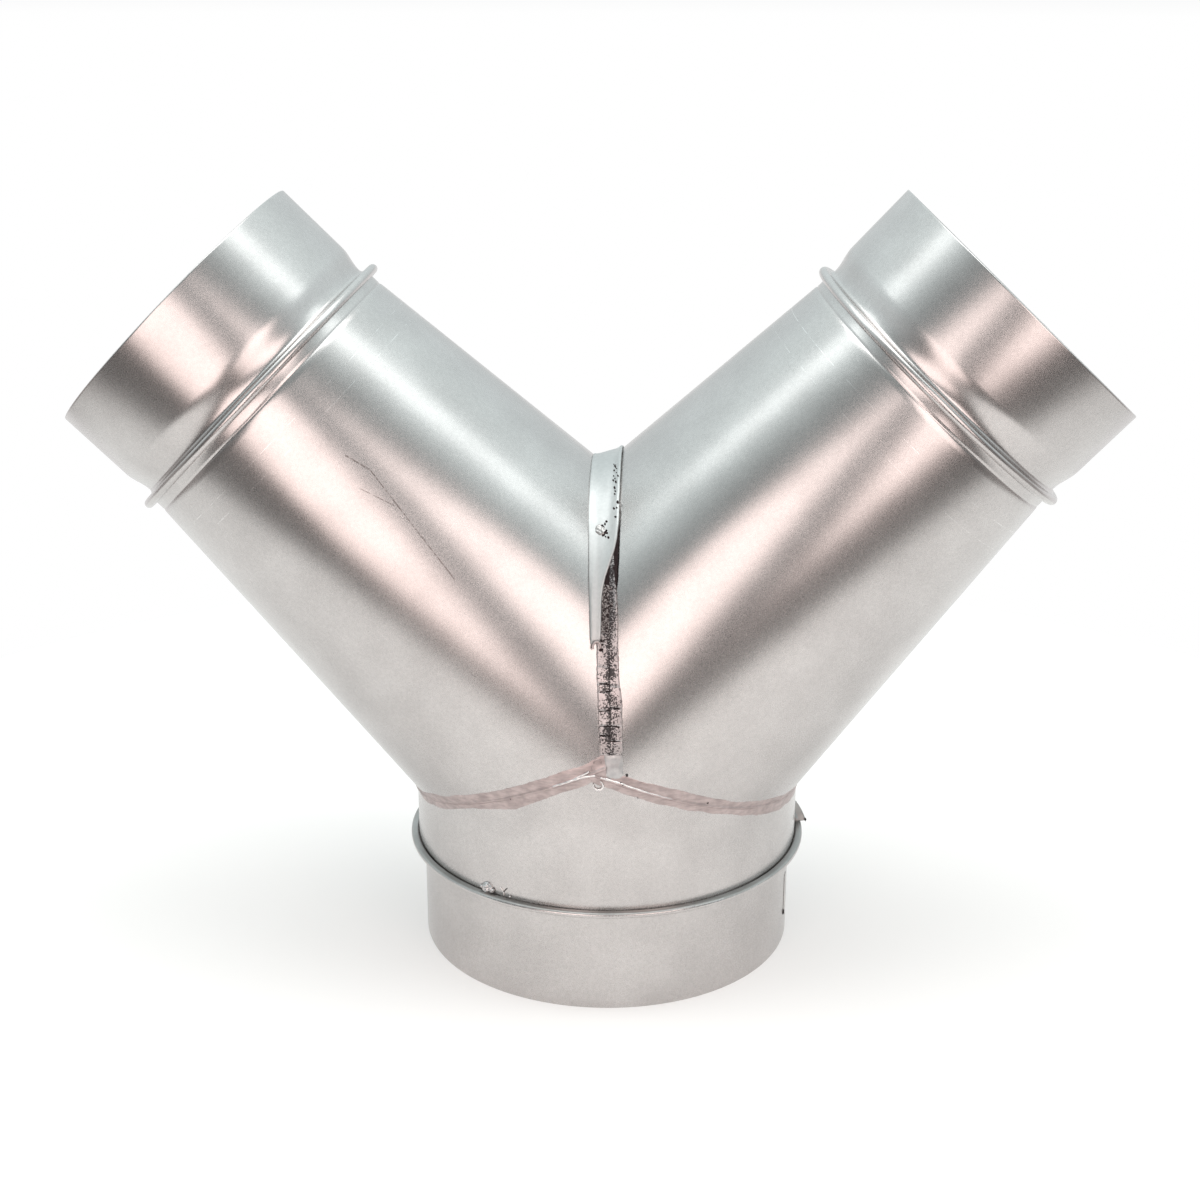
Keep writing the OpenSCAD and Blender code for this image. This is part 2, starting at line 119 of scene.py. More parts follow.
# %% Camera
CAMERA_AT = (22.7996, -585.7499, 316.3208)
CAMERA_TURN = (18.7927, 0.9885, -2.3495)
FOCAL_PIXELS = 1865.8149
FRAME_PIXELS = 1200
SENSOR = 36.0
pitch, yaw, roll = (math.radians(a) for a in CAMERA_TURN)
look = Matrix(((1, 0, 0), (0, 0, -1), (0, 1, 0)))
for angle, axis_name in ((roll, "Z"), (yaw, "Y"), (pitch, "X")):
    look = look @ Matrix.Rotation(angle, 3, axis_name)
axes = Matrix((look[0], -look[1], -look[2])).transposed()
camera = bpy.data.objects.new("camera", bpy.data.cameras.new("camera"))
camera.data.sensor_width = SENSOR
camera.data.lens = FOCAL_PIXELS / FRAME_PIXELS * SENSOR
camera.data.clip_start, camera.data.clip_end = 0.01, 50
camera.matrix_world = Matrix.Translation(Vector(CAMERA_AT) * MM) @ axes.to_4x4()
bpy.context.scene.collection.objects.link(camera)
bpy.context.scene.camera = camera
print("lens (mm):", round(camera.data.lens, 2))

# %% [markdown]
# ## Materials
# Galvanised sheet is steel under a thin skin of zinc. It is a metal, so its colour is a
# mirror colour: a pale grey with hardly any tint. Three things stop it looking like
# chrome. The skin is satin, so its mirrored lights are soft. It is blotched and mottled,
# so its colour wanders over centimetres and over millimetres. And it has a fine grain,
# which varies the roughness and gives a slight bump. All of it comes from noise in the
# object's own coordinates, which stay put in every view.


# %% Shader helpers
def new_material(name):
    """A material, its node tree and its Principled shader."""
    material = bpy.data.materials.new(name)
    material.use_nodes = True
    tree = material.node_tree
    return material, tree, tree.nodes["Principled BSDF"]


def noise_node(tree, coordinates, scale, detail, rough=0.5):
    """Noise at a number of cells per metre."""
    node = tree.nodes.new("ShaderNodeTexNoise")
    node.inputs["Scale"].default_value = scale
    node.inputs["Detail"].default_value = detail
    node.inputs["Roughness"].default_value = rough
    tree.links.new(coordinates, node.inputs["Vector"])
    return node.outputs["Fac"]


def ramp_node(tree, value, stops):
    """Colour ramp through (position, grey or colour) stops."""
    node = tree.nodes.new("ShaderNodeValToRGB")
    while len(node.color_ramp.elements) < len(stops):
        node.color_ramp.elements.new(0.5)
    for element, (at, shade) in zip(node.color_ramp.elements, stops):
        element.position = at
        element.color = (*(shade if isinstance(shade, tuple) else (shade,) * 3), 1)
    tree.links.new(value, node.inputs["Fac"])
    return node.outputs["Color"]


def mix_node(tree, share, first, second, how="MIX"):
    """Mix of two colours, each a socket or a written colour."""
    node = tree.nodes.new("ShaderNodeMix")
    node.data_type = "RGBA"
    node.blend_type = how
    for number, value in ((0, share), (6, first), (7, second)):
        socket = node.inputs[number]
        if isinstance(value, bpy.types.NodeSocket):
            tree.links.new(value, socket)
        else:
            socket.default_value = value
    return node.outputs[2]


def spread_node(tree, noise_value, low, high):
    """Ramp between two greys or colours over the range where most of a noise lies."""
    return ramp_node(tree, noise_value, ((0.3, low), (0.7, high)))


def bump_node(tree, height, strength, distance):
    """Bump of a real distance in millimetres."""
    node = tree.nodes.new("ShaderNodeBump")
    node.inputs["Strength"].default_value = strength
    node.inputs["Distance"].default_value = distance * MM
    tree.links.new(height, node.inputs["Height"])
    return node.outputs["Normal"]


# %% Galvanised sheet
BLOTCHES_PER_METRE, MOTTLE_PER_METRE, GRAIN_PER_METRE = 60, 900, 3200
SHEET_PALE, SHEET_DARK = (0.625, 0.597, 0.586), (0.555, 0.528, 0.518)
SHEET_ROUGH = (0.235, 0.30)


def galvanised(name, pale, dark, rough):
    """Satin zinc skin: blotches, mottle and grain, each from noise of its own scale."""
    material, tree, shader = new_material(name)
    coordinates = tree.nodes.new("ShaderNodeTexCoord").outputs["Object"]
    blotches = noise_node(tree, coordinates, BLOTCHES_PER_METRE, 3)
    mottle = noise_node(tree, coordinates, MOTTLE_PER_METRE, 4, 0.6)
    grain = noise_node(tree, coordinates, GRAIN_PER_METRE, 2, 0.7)
    tone = spread_node(tree, blotches, dark, pale)
    fleck = ramp_node(tree, mottle, ((0.35, 0.92), (0.65, 1.0)))
    speck = ramp_node(tree, grain, ((0.3, 0.90), (0.5, 0.97), (0.7, 1.0)))
    flecked = mix_node(tree, 1.0, tone, fleck, "MULTIPLY")
    tree.links.new(mix_node(tree, 1.0, flecked, speck, "MULTIPLY"), shader.inputs["Base Color"])
    shader.inputs["Metallic"].default_value = 1.0
    tree.links.new(spread_node(tree, grain, *rough), shader.inputs["Roughness"])
    tree.links.new(bump_node(tree, grain, 0.3, 0.02), shader.inputs["Normal"])
    return material


sheet_steel = galvanised("galvanised_sheet", SHEET_PALE, SHEET_DARK, SHEET_ROUGH)

# %% [markdown]
# ## Scratches
# Handling has left a few thin scratches. Each one is a place on the object, so each is a
# small mask worked out from the distance to a line, and noise breaks it up where the tool
# or the nail that made it skipped. The masks are painted into a copy of the finish that
# only the two branches wear.


# %% Masks for marks
def math_node(tree, operation, *values):
    """A maths node whose inputs are sockets or plain numbers."""
    node = tree.nodes.new("ShaderNodeMath")
    node.operation = operation
    for socket, value in zip(node.inputs, values):
        if isinstance(value, bpy.types.NodeSocket):
            tree.links.new(value, socket)
        else:
            socket.default_value = value
    return node.outputs[0]


def along_node(tree, place, way, origin):
    """Distance in millimetres from an origin along a unit direction."""
    node = tree.nodes.new("ShaderNodeVectorMath")
    node.operation = "DOT_PRODUCT"
    tree.links.new(place, node.inputs[0])
    node.inputs[1].default_value = Vector(way) / MM
    return math_node(tree, "SUBTRACT", node.outputs["Value"], Vector(way).dot(Vector(origin)))


SCRATCH_DEPTH = 12
SCRATCH_SKIPS = ((0.40, 0.0), (0.55, 1.0))


def scratch_node(tree, place, start, end, width):
    """1 on a thin line between two points on the front of the object, broken by noise."""
    start, end = Vector(start), Vector(end)
    run = (end - start).normalized()
    side = run.cross(Vector((0, -1, 0))).normalized()
    off = math_node(tree, "ABSOLUTE", along_node(tree, place, side, start))
    near = math_node(tree, "LESS_THAN", off, width / 2)
    middle = (start + end) / 2
    travel = math_node(tree, "ABSOLUTE", along_node(tree, place, run, middle))
    within = math_node(tree, "LESS_THAN", travel, (end - start).length / 2)
    depth = along_node(tree, place, (0, 1, 0), middle)
    in_front = math_node(tree, "LESS_THAN", depth, SCRATCH_DEPTH)
    broken = ramp_node(tree, noise_node(tree, place, 900, 3, 0.7), SCRATCH_SKIPS)
    both = math_node(tree, "MULTIPLY", near, within)
    return math_node(tree, "MULTIPLY", math_node(tree, "MULTIPLY", both, in_front), broken)


# %% Marked sheet
SCRATCHES = (((-76.6, -49.8, 177.7), (-69.2, -49.9, 173.3), 0.45),
             ((-69.2, -49.9, 173.3), (-43.8, -55.7, 141.1), 0.35),
             ((-72.0, -52.0, 168.0), (-62.0, -52.0, 163.0), 0.25))
SCRATCH_TONE, SCRATCH_SHARE = (0.16, 0.13, 0.12, 1), 0.75
# The pale broken rings round the branches are painted highlights along faint creases in the rolled
# sheet.
CREASE_HIGHLIGHTS = ((LEFT, 137.6, 0.16), (LEFT, 143.0, 0.12), (RIGHT, 139.0, 0.14), (RIGHT, 131.5, 0.10))
CREASE_HIGHLIGHT_TONE, CREASE_HIGHLIGHT_SHARE = (0.86, 0.84, 0.83, 1), 0.8
CREASE_HIGHLIGHT_SKIPS = ((0.48, 0.0), (0.58, 1.0))


def crease_highlight_node(tree, place, side, along, width):
    """1 on a thin broken ring round a branch at a distance along its axis: a painted highlight
    along a faint crease.
    """
    axis = (side * math.sin(LEAN[side]), 0, math.cos(LEAN[side]))
    travel = along_node(tree, place, axis, (0, 0, AXIS_Z))
    off = math_node(tree, "ABSOLUTE", math_node(tree, "SUBTRACT", travel, along))
    near = math_node(tree, "LESS_THAN", off, width / 2)
    broken = ramp_node(tree, noise_node(tree, place, 160, 4, 0.75), CREASE_HIGHLIGHT_SKIPS)
    return math_node(tree, "MULTIPLY", near, broken)


def marked(name):
    """The sheet's finish with dark scratches and with pale rings that are painted highlights of
    faint creases.
    """
    material = galvanised(name, SHEET_PALE, SHEET_DARK, SHEET_ROUGH)
    tree = material.node_tree
    colour = tree.nodes["Principled BSDF"].inputs["Base Color"]
    place = tree.nodes.new("ShaderNodeTexCoord").outputs["Object"]
    dark, pale = 0.0, 0.0
    for scratch in SCRATCHES:
        dark = math_node(tree, "MAXIMUM", scratch_node(tree, place, *scratch), dark)
    for ring in CREASE_HIGHLIGHTS:
        pale = math_node(tree, "MAXIMUM", crease_highlight_node(tree, place, *ring), pale)
    clean = colour.links[0].from_socket
    pale_share = math_node(tree, "MULTIPLY", pale, CREASE_HIGHLIGHT_SHARE)
    highlighted = mix_node(tree, pale_share, clean, CREASE_HIGHLIGHT_TONE)
    dark_share = math_node(tree, "MULTIPLY", dark, SCRATCH_SHARE)
    tree.links.new(mix_node(tree, dark_share, highlighted, SCRATCH_TONE), colour)
    return material


marked_steel = marked("marked_sheet")
print("materials:", [m.name for m in bpy.data.materials])

# %% [markdown]
# ## Rolling sheet into tubes
# Every tube here was rolled from flat sheet, and every bead, fold and waist was pressed
# into it by wheels. A section through the wall, turned round the axis, gives just that.
# Each section starts as a line down the middle of the sheet. It is thickened to a closed
# outline with rounded edges, so the cut rims catch a thin line of light as real ones do.


# %% From a centre line to a piece of sheet
def thicken(line, thickness):
    """Closed outline with round ends, set out from an open line of (radius, along)."""
    line = np.asarray(line, float)
    step = np.gradient(line, axis=0)
    step /= np.linalg.norm(step, axis=1)[:, None]
    out = np.stack([step[:, 1], -step[:, 0]], 1) * thickness / 2
    turns = np.radians([45, 90, 135])[:, None]
    cap_end = line[-1] + out[-1] * np.cos(turns) + step[-1] * np.sin(turns) * thickness / 2
    cap_start = line[0] - out[0] * np.cos(turns) - step[0] * np.sin(turns) * thickness / 2
    return np.concatenate([line + out, cap_end, (line - out)[::-1], cap_start])


def branch_place(side):
    """Rotation whose third column is the branch's axis."""
    a = side * LEAN[side]
    return np.array([[math.cos(a), 0, math.sin(a)], [0, 1, 0], [-math.sin(a), 0, math.cos(a)]])


def turned(outlines, angles, side=None):
    """Points of a piece of sheet: one outline of (radius, along) for each direction."""
    rings = []
    for outline, angle in zip(outlines, angles):
        r, s = outline[:, 0], outline[:, 1]
        rings.append(np.stack([r * math.cos(angle), r * math.sin(angle), s], 1))
    points = np.array(rings)
    if side is not None:
        points = points @ branch_place(side).T + np.array([0, 0, AXIS_Z])
    return points


def piece_from_grid(name, points, material, round_it=True):
    """Mesh object from a grid of points in millimetres, rows by columns."""
    rows, columns = points.shape[:2]
    index = np.arange(rows * columns).reshape(rows, columns)
    near = index if round_it else index[:-1]
    far = np.roll(index, -1, 0) if round_it else index[1:]
    quads = np.stack([near, far, np.roll(far, -1, 1), np.roll(near, -1, 1)], -1)
    faces = quads.reshape(-1, 4).tolist()
    if not round_it:
        faces += [index[0].tolist(), index[-1][::-1].tolist()]
    mesh = bpy.data.meshes.new(name)
    mesh.from_pydata((points.reshape(-1, 3) * MM).tolist(), [], faces)
    mesh.validate()
    mesh.polygons.foreach_set("use_smooth", [True] * len(mesh.polygons))
    mesh.materials.append(material)
    piece = bpy.data.objects.new(name, mesh)
    bpy.context.scene.collection.objects.link(piece)
    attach(piece, "root")
    print(name, "has", len(mesh.polygons), "faces")
    return piece


def arc(centre, radius, start, end, steps):
    """Points of an arc, in degrees, as (radius, along)."""
    angles = np.radians(np.linspace(start, end, steps))
    return [(centre[0] + radius * math.cos(a), centre[1] + radius * math.sin(a)) for a in angles]


def full_turn(steps):
    """Even directions round an axis."""
    return np.linspace(-math.pi, math.pi, steps, endpoint=False)


# %% [markdown]
# ## Branch cones
# Each branch is a cone rolled from a flat blank. Its lower edge is cut along the two flat
# joints, with the trunk and with the other branch. A Boolean could cut it, but would leave
# ragged shading. Instead each line along the cone starts at the joint it meets, so the
# edge is exact and the faces run with the cone.


# %% Where a branch starts
def first_along(side, angle):
    """Distance along the axis where a line along the cone meets the joints."""
    turn = branch_place(side)
    out = turn @ np.array([math.cos(angle), math.sin(angle), 0])
    axis = turn[:, 2]
    base = cone_r(side, 0) * out
    step = axis - math.tan(TAPER[side]) * out
    height, slope = MITRE[side]
    up = np.array([side * slope, 0, 1.0])
    at_mitre = (height - base @ up) / (step @ up)
    across = np.array([math.cos(SEAM_TILT), 0, -math.sin(SEAM_TILT)])
    meet = np.array([MEET_X, 0, MEET_Z])
    at_seam = ((meet - base) @ across) / (step @ across)
    return max(at_mitre, at_seam)


# %% Branch cones
LAND_WIDTH = 2.6
BEAD_START = 0.4
BEAD_WIDTH = 3.0
BEAD_HEIGHT = 3.4
CREST_R = BEAD_WIDTH / 2
FLANGE_AT = BEAD_START + SHEET + 2 * SHEET_GAP
FLANGE_BEND = 0.5
LAND_RISE = 0.1
GROOVE_RUN = 1.2
GROOVE = ((0.9, 0.02), (0.6, 0.12), (0.35, 0.22), (0.1, 0.25), (-0.15, 0.2), (-0.4, 0.08))


def cone_line(side, start):
    """Middle line of a cone's wall: plain cone, groove, land, and flange in the bead."""
    land_at = REACH[side] - LAND_WIDTH
    shares = np.concatenate([[0, 0.004, 0.012], np.linspace(0.03, 0.97, 30), [0.99]])
    plain_end = land_at - GROOVE_RUN
    line = [(cone_r(side, s) - HALF, s) for s in start + shares * (plain_end - start)]
    for step, dip in GROOVE:
        line.append((cone_r(side, land_at - step) - HALF - dip, land_at - step))
    land_r = END_R[side] + LAND_RISE - HALF
    flange_end = END_R[side] + BEAD_HEIGHT - CREST_R
    line += [(land_r, land_at + 0.8), (land_r, REACH[side] - 0.4)]
    line += arc((land_r + FLANGE_BEND, REACH[side] + FLANGE_AT), FLANGE_BEND, 180, 90, 5)
    return line + [(flange_end, REACH[side] + FLANGE_AT + FLANGE_BEND)]


def branch_cone(side, name, steps=432):
    """One branch, from the joints to the flange that its lock bead grips."""
    angles = full_turn(steps)
    outlines = []
    for angle in angles:
        start = first_along(side, angle)
        outlines.append(thicken(cone_line(side, start), SHEET))
    return piece_from_grid(name, turned(outlines, angles, side), marked_steel)


left_cone = branch_cone(LEFT, "left_cone")
right_cone = branch_cone(RIGHT, "right_cone")
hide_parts("left_branch")
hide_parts("right_branch")

# %% [markdown]
# ## Outlet spigots
# The spigot is a short tube whose end is curled over the cone's flange: a lock seam, seen
# as a round bead. Beside the bead the wall is drawn in to a waist, so that a hose pushed
# over the spigot stops there. One section turned round the axis gives all of it.

# %% Outlet spigots
WAIST_DEPTH = 1.4
WAIST_LENGTH = 8.8
BEAD_FOOT = 1.3
CURL_EDGE = 0.9
FOOT_AT = BEAD_START + BEAD_WIDTH + BEAD_FOOT


def spigot_line(side):
    """Middle line of the spigot's wall, from the curl's edge over the bead to the rim."""
    reach = REACH[side]
    crest_centre = (END_R[side] + BEAD_HEIGHT - CREST_R, reach + BEAD_START + CREST_R)
    line = [(END_R[side] + CURL_EDGE, reach + BEAD_START + HALF)]
    line += arc(crest_centre, CREST_R - HALF, -90, 90, 13)
    waist_r = OUTLET_R[side] - WAIST_DEPTH
    line += arc((waist_r + BEAD_FOOT, reach + FOOT_AT), BEAD_FOOT + HALF, 270, 180, 9)
    for share in np.linspace(0.08, 1, 13):
        line.append((waist_r - HALF + WAIST_DEPTH * (1 - math.cos(math.pi * share)) / 2,
                     reach + FOOT_AT + WAIST_LENGTH * share))
    wall_start, wall_end = reach + FOOT_AT + WAIST_LENGTH, reach + SPIGOT_LENGTH[side]
    shares = (0.1, 0.25, 0.4, 0.55, 0.7, 0.85, 0.95, 0.99, 1)
    run = wall_end - wall_start
    return line + [(OUTLET_R[side] - HALF, wall_start + share * run) for share in shares]


def outlet_spigot(side, name, steps=360):
    """One outlet spigot with its lock bead."""
    angles = full_turn(steps)
    outline = thicken(spigot_line(side), SHEET)
    return piece_from_grid(name, turned([outline] * steps, angles, side), sheet_steel)


left_outlet = outlet_spigot(LEFT, "left_outlet")
right_outlet = outlet_spigot(RIGHT, "right_outlet")
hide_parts("left_spigot")
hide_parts("right_spigot")

# %% [markdown]
# ## Trunk sleeve
# The trunk is a plain tube between the folded ring and the two joints. Its foot is turned
# out into the ring, and its top edge rises to a point in front and behind, where the two
# joints meet.

# %% Trunk sleeve
RING_REACH = 2.7
RING_GAP = 0.65
RING_DEPTH = 3 * SHEET + 2 * SHEET_GAP
RING_OUTER_R = TRUNK_R + RING_REACH
FOLD_R = RING_DEPTH / 2
FOLD_CENTRE_R = RING_OUTER_R - FOLD_R
RING_FLOOR = INLET_HEIGHT - RING_DEPTH
FLANGE_FLOOR = RING_FLOOR + SHEET + SHEET_GAP
TRUNK_BEND = 0.75


def trunk_top(angle):
    """Height of the trunk's cut top edge in one direction."""
    x = (TRUNK_R - HALF) * math.cos(angle)
    return AXIS_Z + min(MITRE[side][0] - side * x * MITRE[side][1] for side in (LEFT, RIGHT))


def trunk_line(top):
    """Middle line of the trunk's wall, from the edge held in the ring to the cut top."""
    flange_z = FLANGE_FLOOR + HALF
    foot = flange_z + TRUNK_BEND
    line = [(FOLD_CENTRE_R + 0.1, flange_z)]
    line += arc((TRUNK_R - HALF + TRUNK_BEND, foot), TRUNK_BEND, 270, 180, 7)
    shares = (0.03, 0.1, 0.2, 0.3, 0.4, 0.5, 0.6, 0.7, 0.8, 0.9, 0.97, 0.99, 1)
    line += [(TRUNK_R - HALF, foot + share * (top - foot)) for share in shares]
    return line


def trunk_sleeve(steps=432):
    """The trunk, with its top cut along both joints."""
    angles = full_turn(steps)
    outlines = [thicken(trunk_line(trunk_top(angle)), SHEET) for angle in angles]
    return piece_from_grid("trunk_sleeve", turned(outlines, angles), sheet_steel)


trunk = trunk_sleeve()
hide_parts("trunk")

# %% [markdown]
# ## Bottom spigot and its folded ring
# The bottom spigot's upper edge is turned out flat, round the trunk's foot and back in
# over it, and hammered down. The three sheets on each other make the thick ring.

# %% Bottom spigot
OPEN_FROM, OPEN_ARC = 3.0, 15.0
TORN_OVER, CLOSING_OVER, CLOSED_PAST = 0.3, 4, 1.5
STANDING_HEIGHT = 3.4
INLET_BEND = 0.8
HAND_WAVER = 0.08
DARKER_ABOVE = RING_FLOOR + 1.5


def wander(a, b, c):
    """A smooth number between about -1 and 1 from a place in noise, the same at each run."""
    return noise.noise(Vector((a, b, c)))


def inlet_foot():
    """Middle line of the bottom spigot's wall, from the rim up to the ring's floor."""
    wall_r, floor = INLET_R - HALF, RING_FLOOR + HALF
    shares = (0, 0.01, 0.05, 0.15, 0.3, 0.45, 0.6, 0.75, 0.9, 0.97, 1)
    line = [(wall_r, share * (floor - INLET_BEND)) for share in shares]
    return line + arc((wall_r + INLET_BEND, floor - INLET_BEND), INLET_BEND, 180, 90, 7)[1:]


def folded_end():
    """The fold, hammered down over the trunk's foot."""
    line = arc((FOLD_CENTRE_R, RING_FLOOR + FOLD_R), FOLD_R - HALF, -90, 90, 13)
    return line + [(TRUNK_R + RING_GAP + past, INLET_HEIGHT - HALF) for past in (0.15, 0)]


def standing_end():
    """The same sheet where it was left open and still stands against the trunk."""
    floor, bend = RING_FLOOR + HALF, 0.4
    line = [(FOLD_CENTRE_R - 0.3, floor)]
    line += arc((FOLD_CENTRE_R + 0.15, floor + bend), bend, -90, 0, 5)
    top = (TRUNK_R + SHEET_GAP + HALF + 0.05, INLET_HEIGHT + STANDING_HEIGHT)
    start = line[-1]
    rise = top[0] - start[0], top[1] - start[1]
    shares = (0.12, 0.25, 0.38, 0.5, 0.62, 0.75, 0.87, 0.96, 1)
    return line + [(start[0] + share * rise[0], start[1] + share * rise[1]) for share in shares]


def openness(degrees):
    """1 where the fold stands open, 0 where it is closed, with a torn and a rolled end."""
    torn = np.clip((degrees - OPEN_FROM) / TORN_OVER, 0, 1)
    rolled = np.clip((OPEN_FROM + OPEN_ARC + CLOSED_PAST - degrees) / CLOSING_OVER, 0, 1)
    return float(torn * rolled * rolled * (3 - 2 * rolled))


def inlet_spigot():
    """The bottom spigot with the ring that grips the trunk."""
    closed_before, open_part = np.arange(-180, 2.5, 0.8), np.arange(2.7, 22, 0.3)
    angles = np.radians(np.concatenate([closed_before, open_part, np.arange(22.5, 179.5, 0.8)]))
    foot, folded, standing = map(np.array, (inlet_foot(), folded_end(), standing_end()))
    outlines = []
    for angle in angles:
        share = openness(math.degrees(angle))
        hand = HAND_WAVER * wander(math.cos(angle) * 3, math.sin(angle) * 3, 2.2)
        ring = folded * (1 - share) + standing * share + np.array([0, hand]) * (1 - share)
        outlines.append(thicken(np.concatenate([foot, ring]), SHEET))
    piece = piece_from_grid("bottom_spigot", turned(outlines, angles), sheet_steel)
    piece.data.materials.append(darker_ring_steel)
    for face in piece.data.polygons:
        if face.center.z > DARKER_ABOVE * MM:
            face.material_index = 1
    return piece


# The ring's upper faces and its torn corner wear a darker, duller copy of the sheet's finish.
darker_ring_steel = galvanised("darker_ring", (0.47, 0.46, 0.45), (0.34, 0.33, 0.32), (0.30, 0.44))
bottom = inlet_spigot()
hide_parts("trunk_spigot")

# %% [markdown]
# ## Laying strips on curved sheet
# The lip over the crotch, the pressed edges of the seam, the sealer and the solder all lie
# on the tubes. Modelled flat and bent afterwards they would sink in or hang in the air.
# Each is instead a grid of points. For each point a ray is sent out from inside the tube,
# and the point is put where the ray leaves the skin, lifted by a small height.


# %% Rays to the skin of a branch
def skin_reach(side, start, way, lift=0.0):
    """Distance from points inside, along unit directions, to a branch's lifted skin."""
    start, way = np.broadcast_arrays(np.asarray(start, float), np.asarray(way, float))
    axis = branch_place(side)[:, 2]
    sin_t, cos_t = math.sin(TAPER[side]), math.cos(TAPER[side])
    along, grow = start @ axis, way @ axis
    wall = (TRUNK_R + lift - along * sin_t) / cos_t
    thin = -grow * sin_t / cos_t
    a = 1 - grow**2 - thin**2
    b = 2 * ((start * way).sum(-1) - along * grow - wall * thin)
    c = (start**2).sum(-1) - along**2 - wall**2
    return (-b + np.sqrt(np.maximum(b * b - 4 * a * c, 0))) / (2 * a)


def soft_max(first, second, blend):
    """The larger of two heights, with the corner between them rounded."""
    return (first + second + np.sqrt((first - second) ** 2 + blend**2)) / 2


def strip(name, middle, thickness, material):
    """Closed strip of sheet from its middle surface (rows, columns, 3), edges rounded."""
    down, across = np.gradient(middle, axis=0), np.gradient(middle, axis=1)
    out = np.cross(across, down)
    out /= np.linalg.norm(out, axis=2)[..., None]
    side_step = across / np.linalg.norm(across, axis=2)[..., None]
    half = np.asarray(thickness, float) / 2 * np.ones(middle.shape[:2])
    half = half[..., None]
    top, under = middle + out * half, middle - out * half
    cap = [[], []]
    for column, sign, store in ((-1, 1, 0), (0, -1, 1)):
        for turn in (45, 90, 135):
            c, k = math.cos(math.radians(turn)), math.sin(math.radians(turn))
            lean = out[:, column] * c * sign + side_step[:, column] * k * sign
            cap[store].append(middle[:, column] + lean * half[:, column])
    ring = np.concatenate([top, np.stack(cap[0], 1), under[:, ::-1], np.stack(cap[1], 1)], 1)
    piece = piece_from_grid(name, ring, material, round_it=False)
    return piece


def thin_ends(rows, thickness, last, next_to_last):
    """A thickness for each row of a strip that falls off at both ends."""
    thick = np.full(rows, thickness)
    thick[[0, 1, -2, -1]] = (last, next_to_last, next_to_last, last)
    return thick[:, None]


def facing_out(grid, facing):
    """A strip's grid with its outer skin outwards, in front (-1) or behind (1)."""
    return grid[:, ::-1] if facing > 0 else grid


def seam_x(z):
    """Where the seam between the branches is, at a height above the axes' meeting point."""
    return MEET_X + (z - MEET_Z) * math.tan(SEAM_TILT)


# %% Cords and mounds
MOUND_SINK = 0.12
MOUND_SKIN = 0.16


def cord(name, path, radii, material, sides=8):
    """A thin round line of paste or grime along a path, thicker and thinner as told."""
    path = np.asarray(path, float)
    step = np.gradient(path, axis=0)
    step /= np.linalg.norm(step, axis=1)[:, None]
    out = np.cross(step, np.array([0.13, 1.0, 0.21]))
    out /= np.linalg.norm(out, axis=1)[:, None]
    over = np.cross(step, out)
    turns = np.linspace(0, 2 * math.pi, sides, endpoint=False)
    radii = np.asarray(radii, float) * np.ones(len(path))
    cos_turns, sin_turns = np.cos(turns)[None, :, None], np.sin(turns)[None, :, None]
    ring = out[:, None] * cos_turns + over[:, None] * sin_turns
    points = path[:, None] + ring * radii[:, None, None]
    piece = piece_from_grid(name, points, material, round_it=False)
    return piece


def mound(name, centre, right, up, size, height, material, slot, seed=0, steps=22):
    """A low lumpy drop on a surface, given its centre and two directions along the surface."""
    centre, right, up = (np.asarray(v, float) for v in (centre, right, up))
    right, up = right / np.linalg.norm(right), up / np.linalg.norm(up)
    out = np.cross(right, up)
    grid = np.zeros((steps, steps, 3))
    for i, v in enumerate(np.linspace(-1, 1, steps)):
        for j, u in enumerate(np.linspace(-1, 1, steps)):
            x, z = u * math.sqrt(1 - v * v / 2), v * math.sqrt(1 - u * u / 2)
            rim = 1 + 0.22 * wander(x * 1.4 + seed, z * 1.4, 0.5)
            rise = max(0.0, 1 - (x * x + z * z)) ** 0.6
            lumps = 1 + 0.7 * wander(x * 2.4, z * 2.4, seed + 3.3)
            spread = right * x * size[0] * rim + up * z * size[1] * rim
            grid[i, j] = centre + spread + out * (height * rise * lumps - MOUND_SINK)
    return strip(name, grid, MOUND_SKIN, material)


# %% [markdown]
# ## Corner of the open fold
# Where the fold was left open its torn corner stands out as a small three-cornered flap.
# A triangle is a grid whose columns come together at one end. Lower down on the same side
# the edge of the spigot's own lap stands a hair proud of the wall, as a thin short strip.


# %% Corner flap
def corner_flap(rows=24, columns=12):
    """The torn corner, from the ring's edge up against the trunk."""
    low_in, low_out = np.array([65.3, 35.75]), np.array([68.7, 35.9])
    high_in, high_out = np.array([64.85, 42.9]), np.array([65.1, 43.0])
    grid = np.zeros((rows, columns, 3))
    for i, up in enumerate(np.linspace(0, 1, rows)):
        start = low_in + (high_in - low_in) * up
        end = low_out + (high_out - low_out) * up
        end = end + np.array([0.35, 0]) * math.sin(math.pi * up)
        for j, over in enumerate(np.linspace(0, 1, columns)):
            r, z = start + (end - start) * over
            curl = math.radians(OPEN_FROM) + 0.012 * math.sin(2.5 * up) + 0.006 * over
            grid[i, j] = (r * math.cos(curl), r * math.sin(curl), z)
    return strip("ring_corner", grid, 0.5, darker_ring_steel)


corner_flap()


# %% Torn lap edge low on the spigot
LAP_EDGE_TURN, LAP_EDGE_ARC = -12.6, 2.2
LAP_EDGE_LOW, LAP_EDGE_LENGTH = 9.6, 14.2


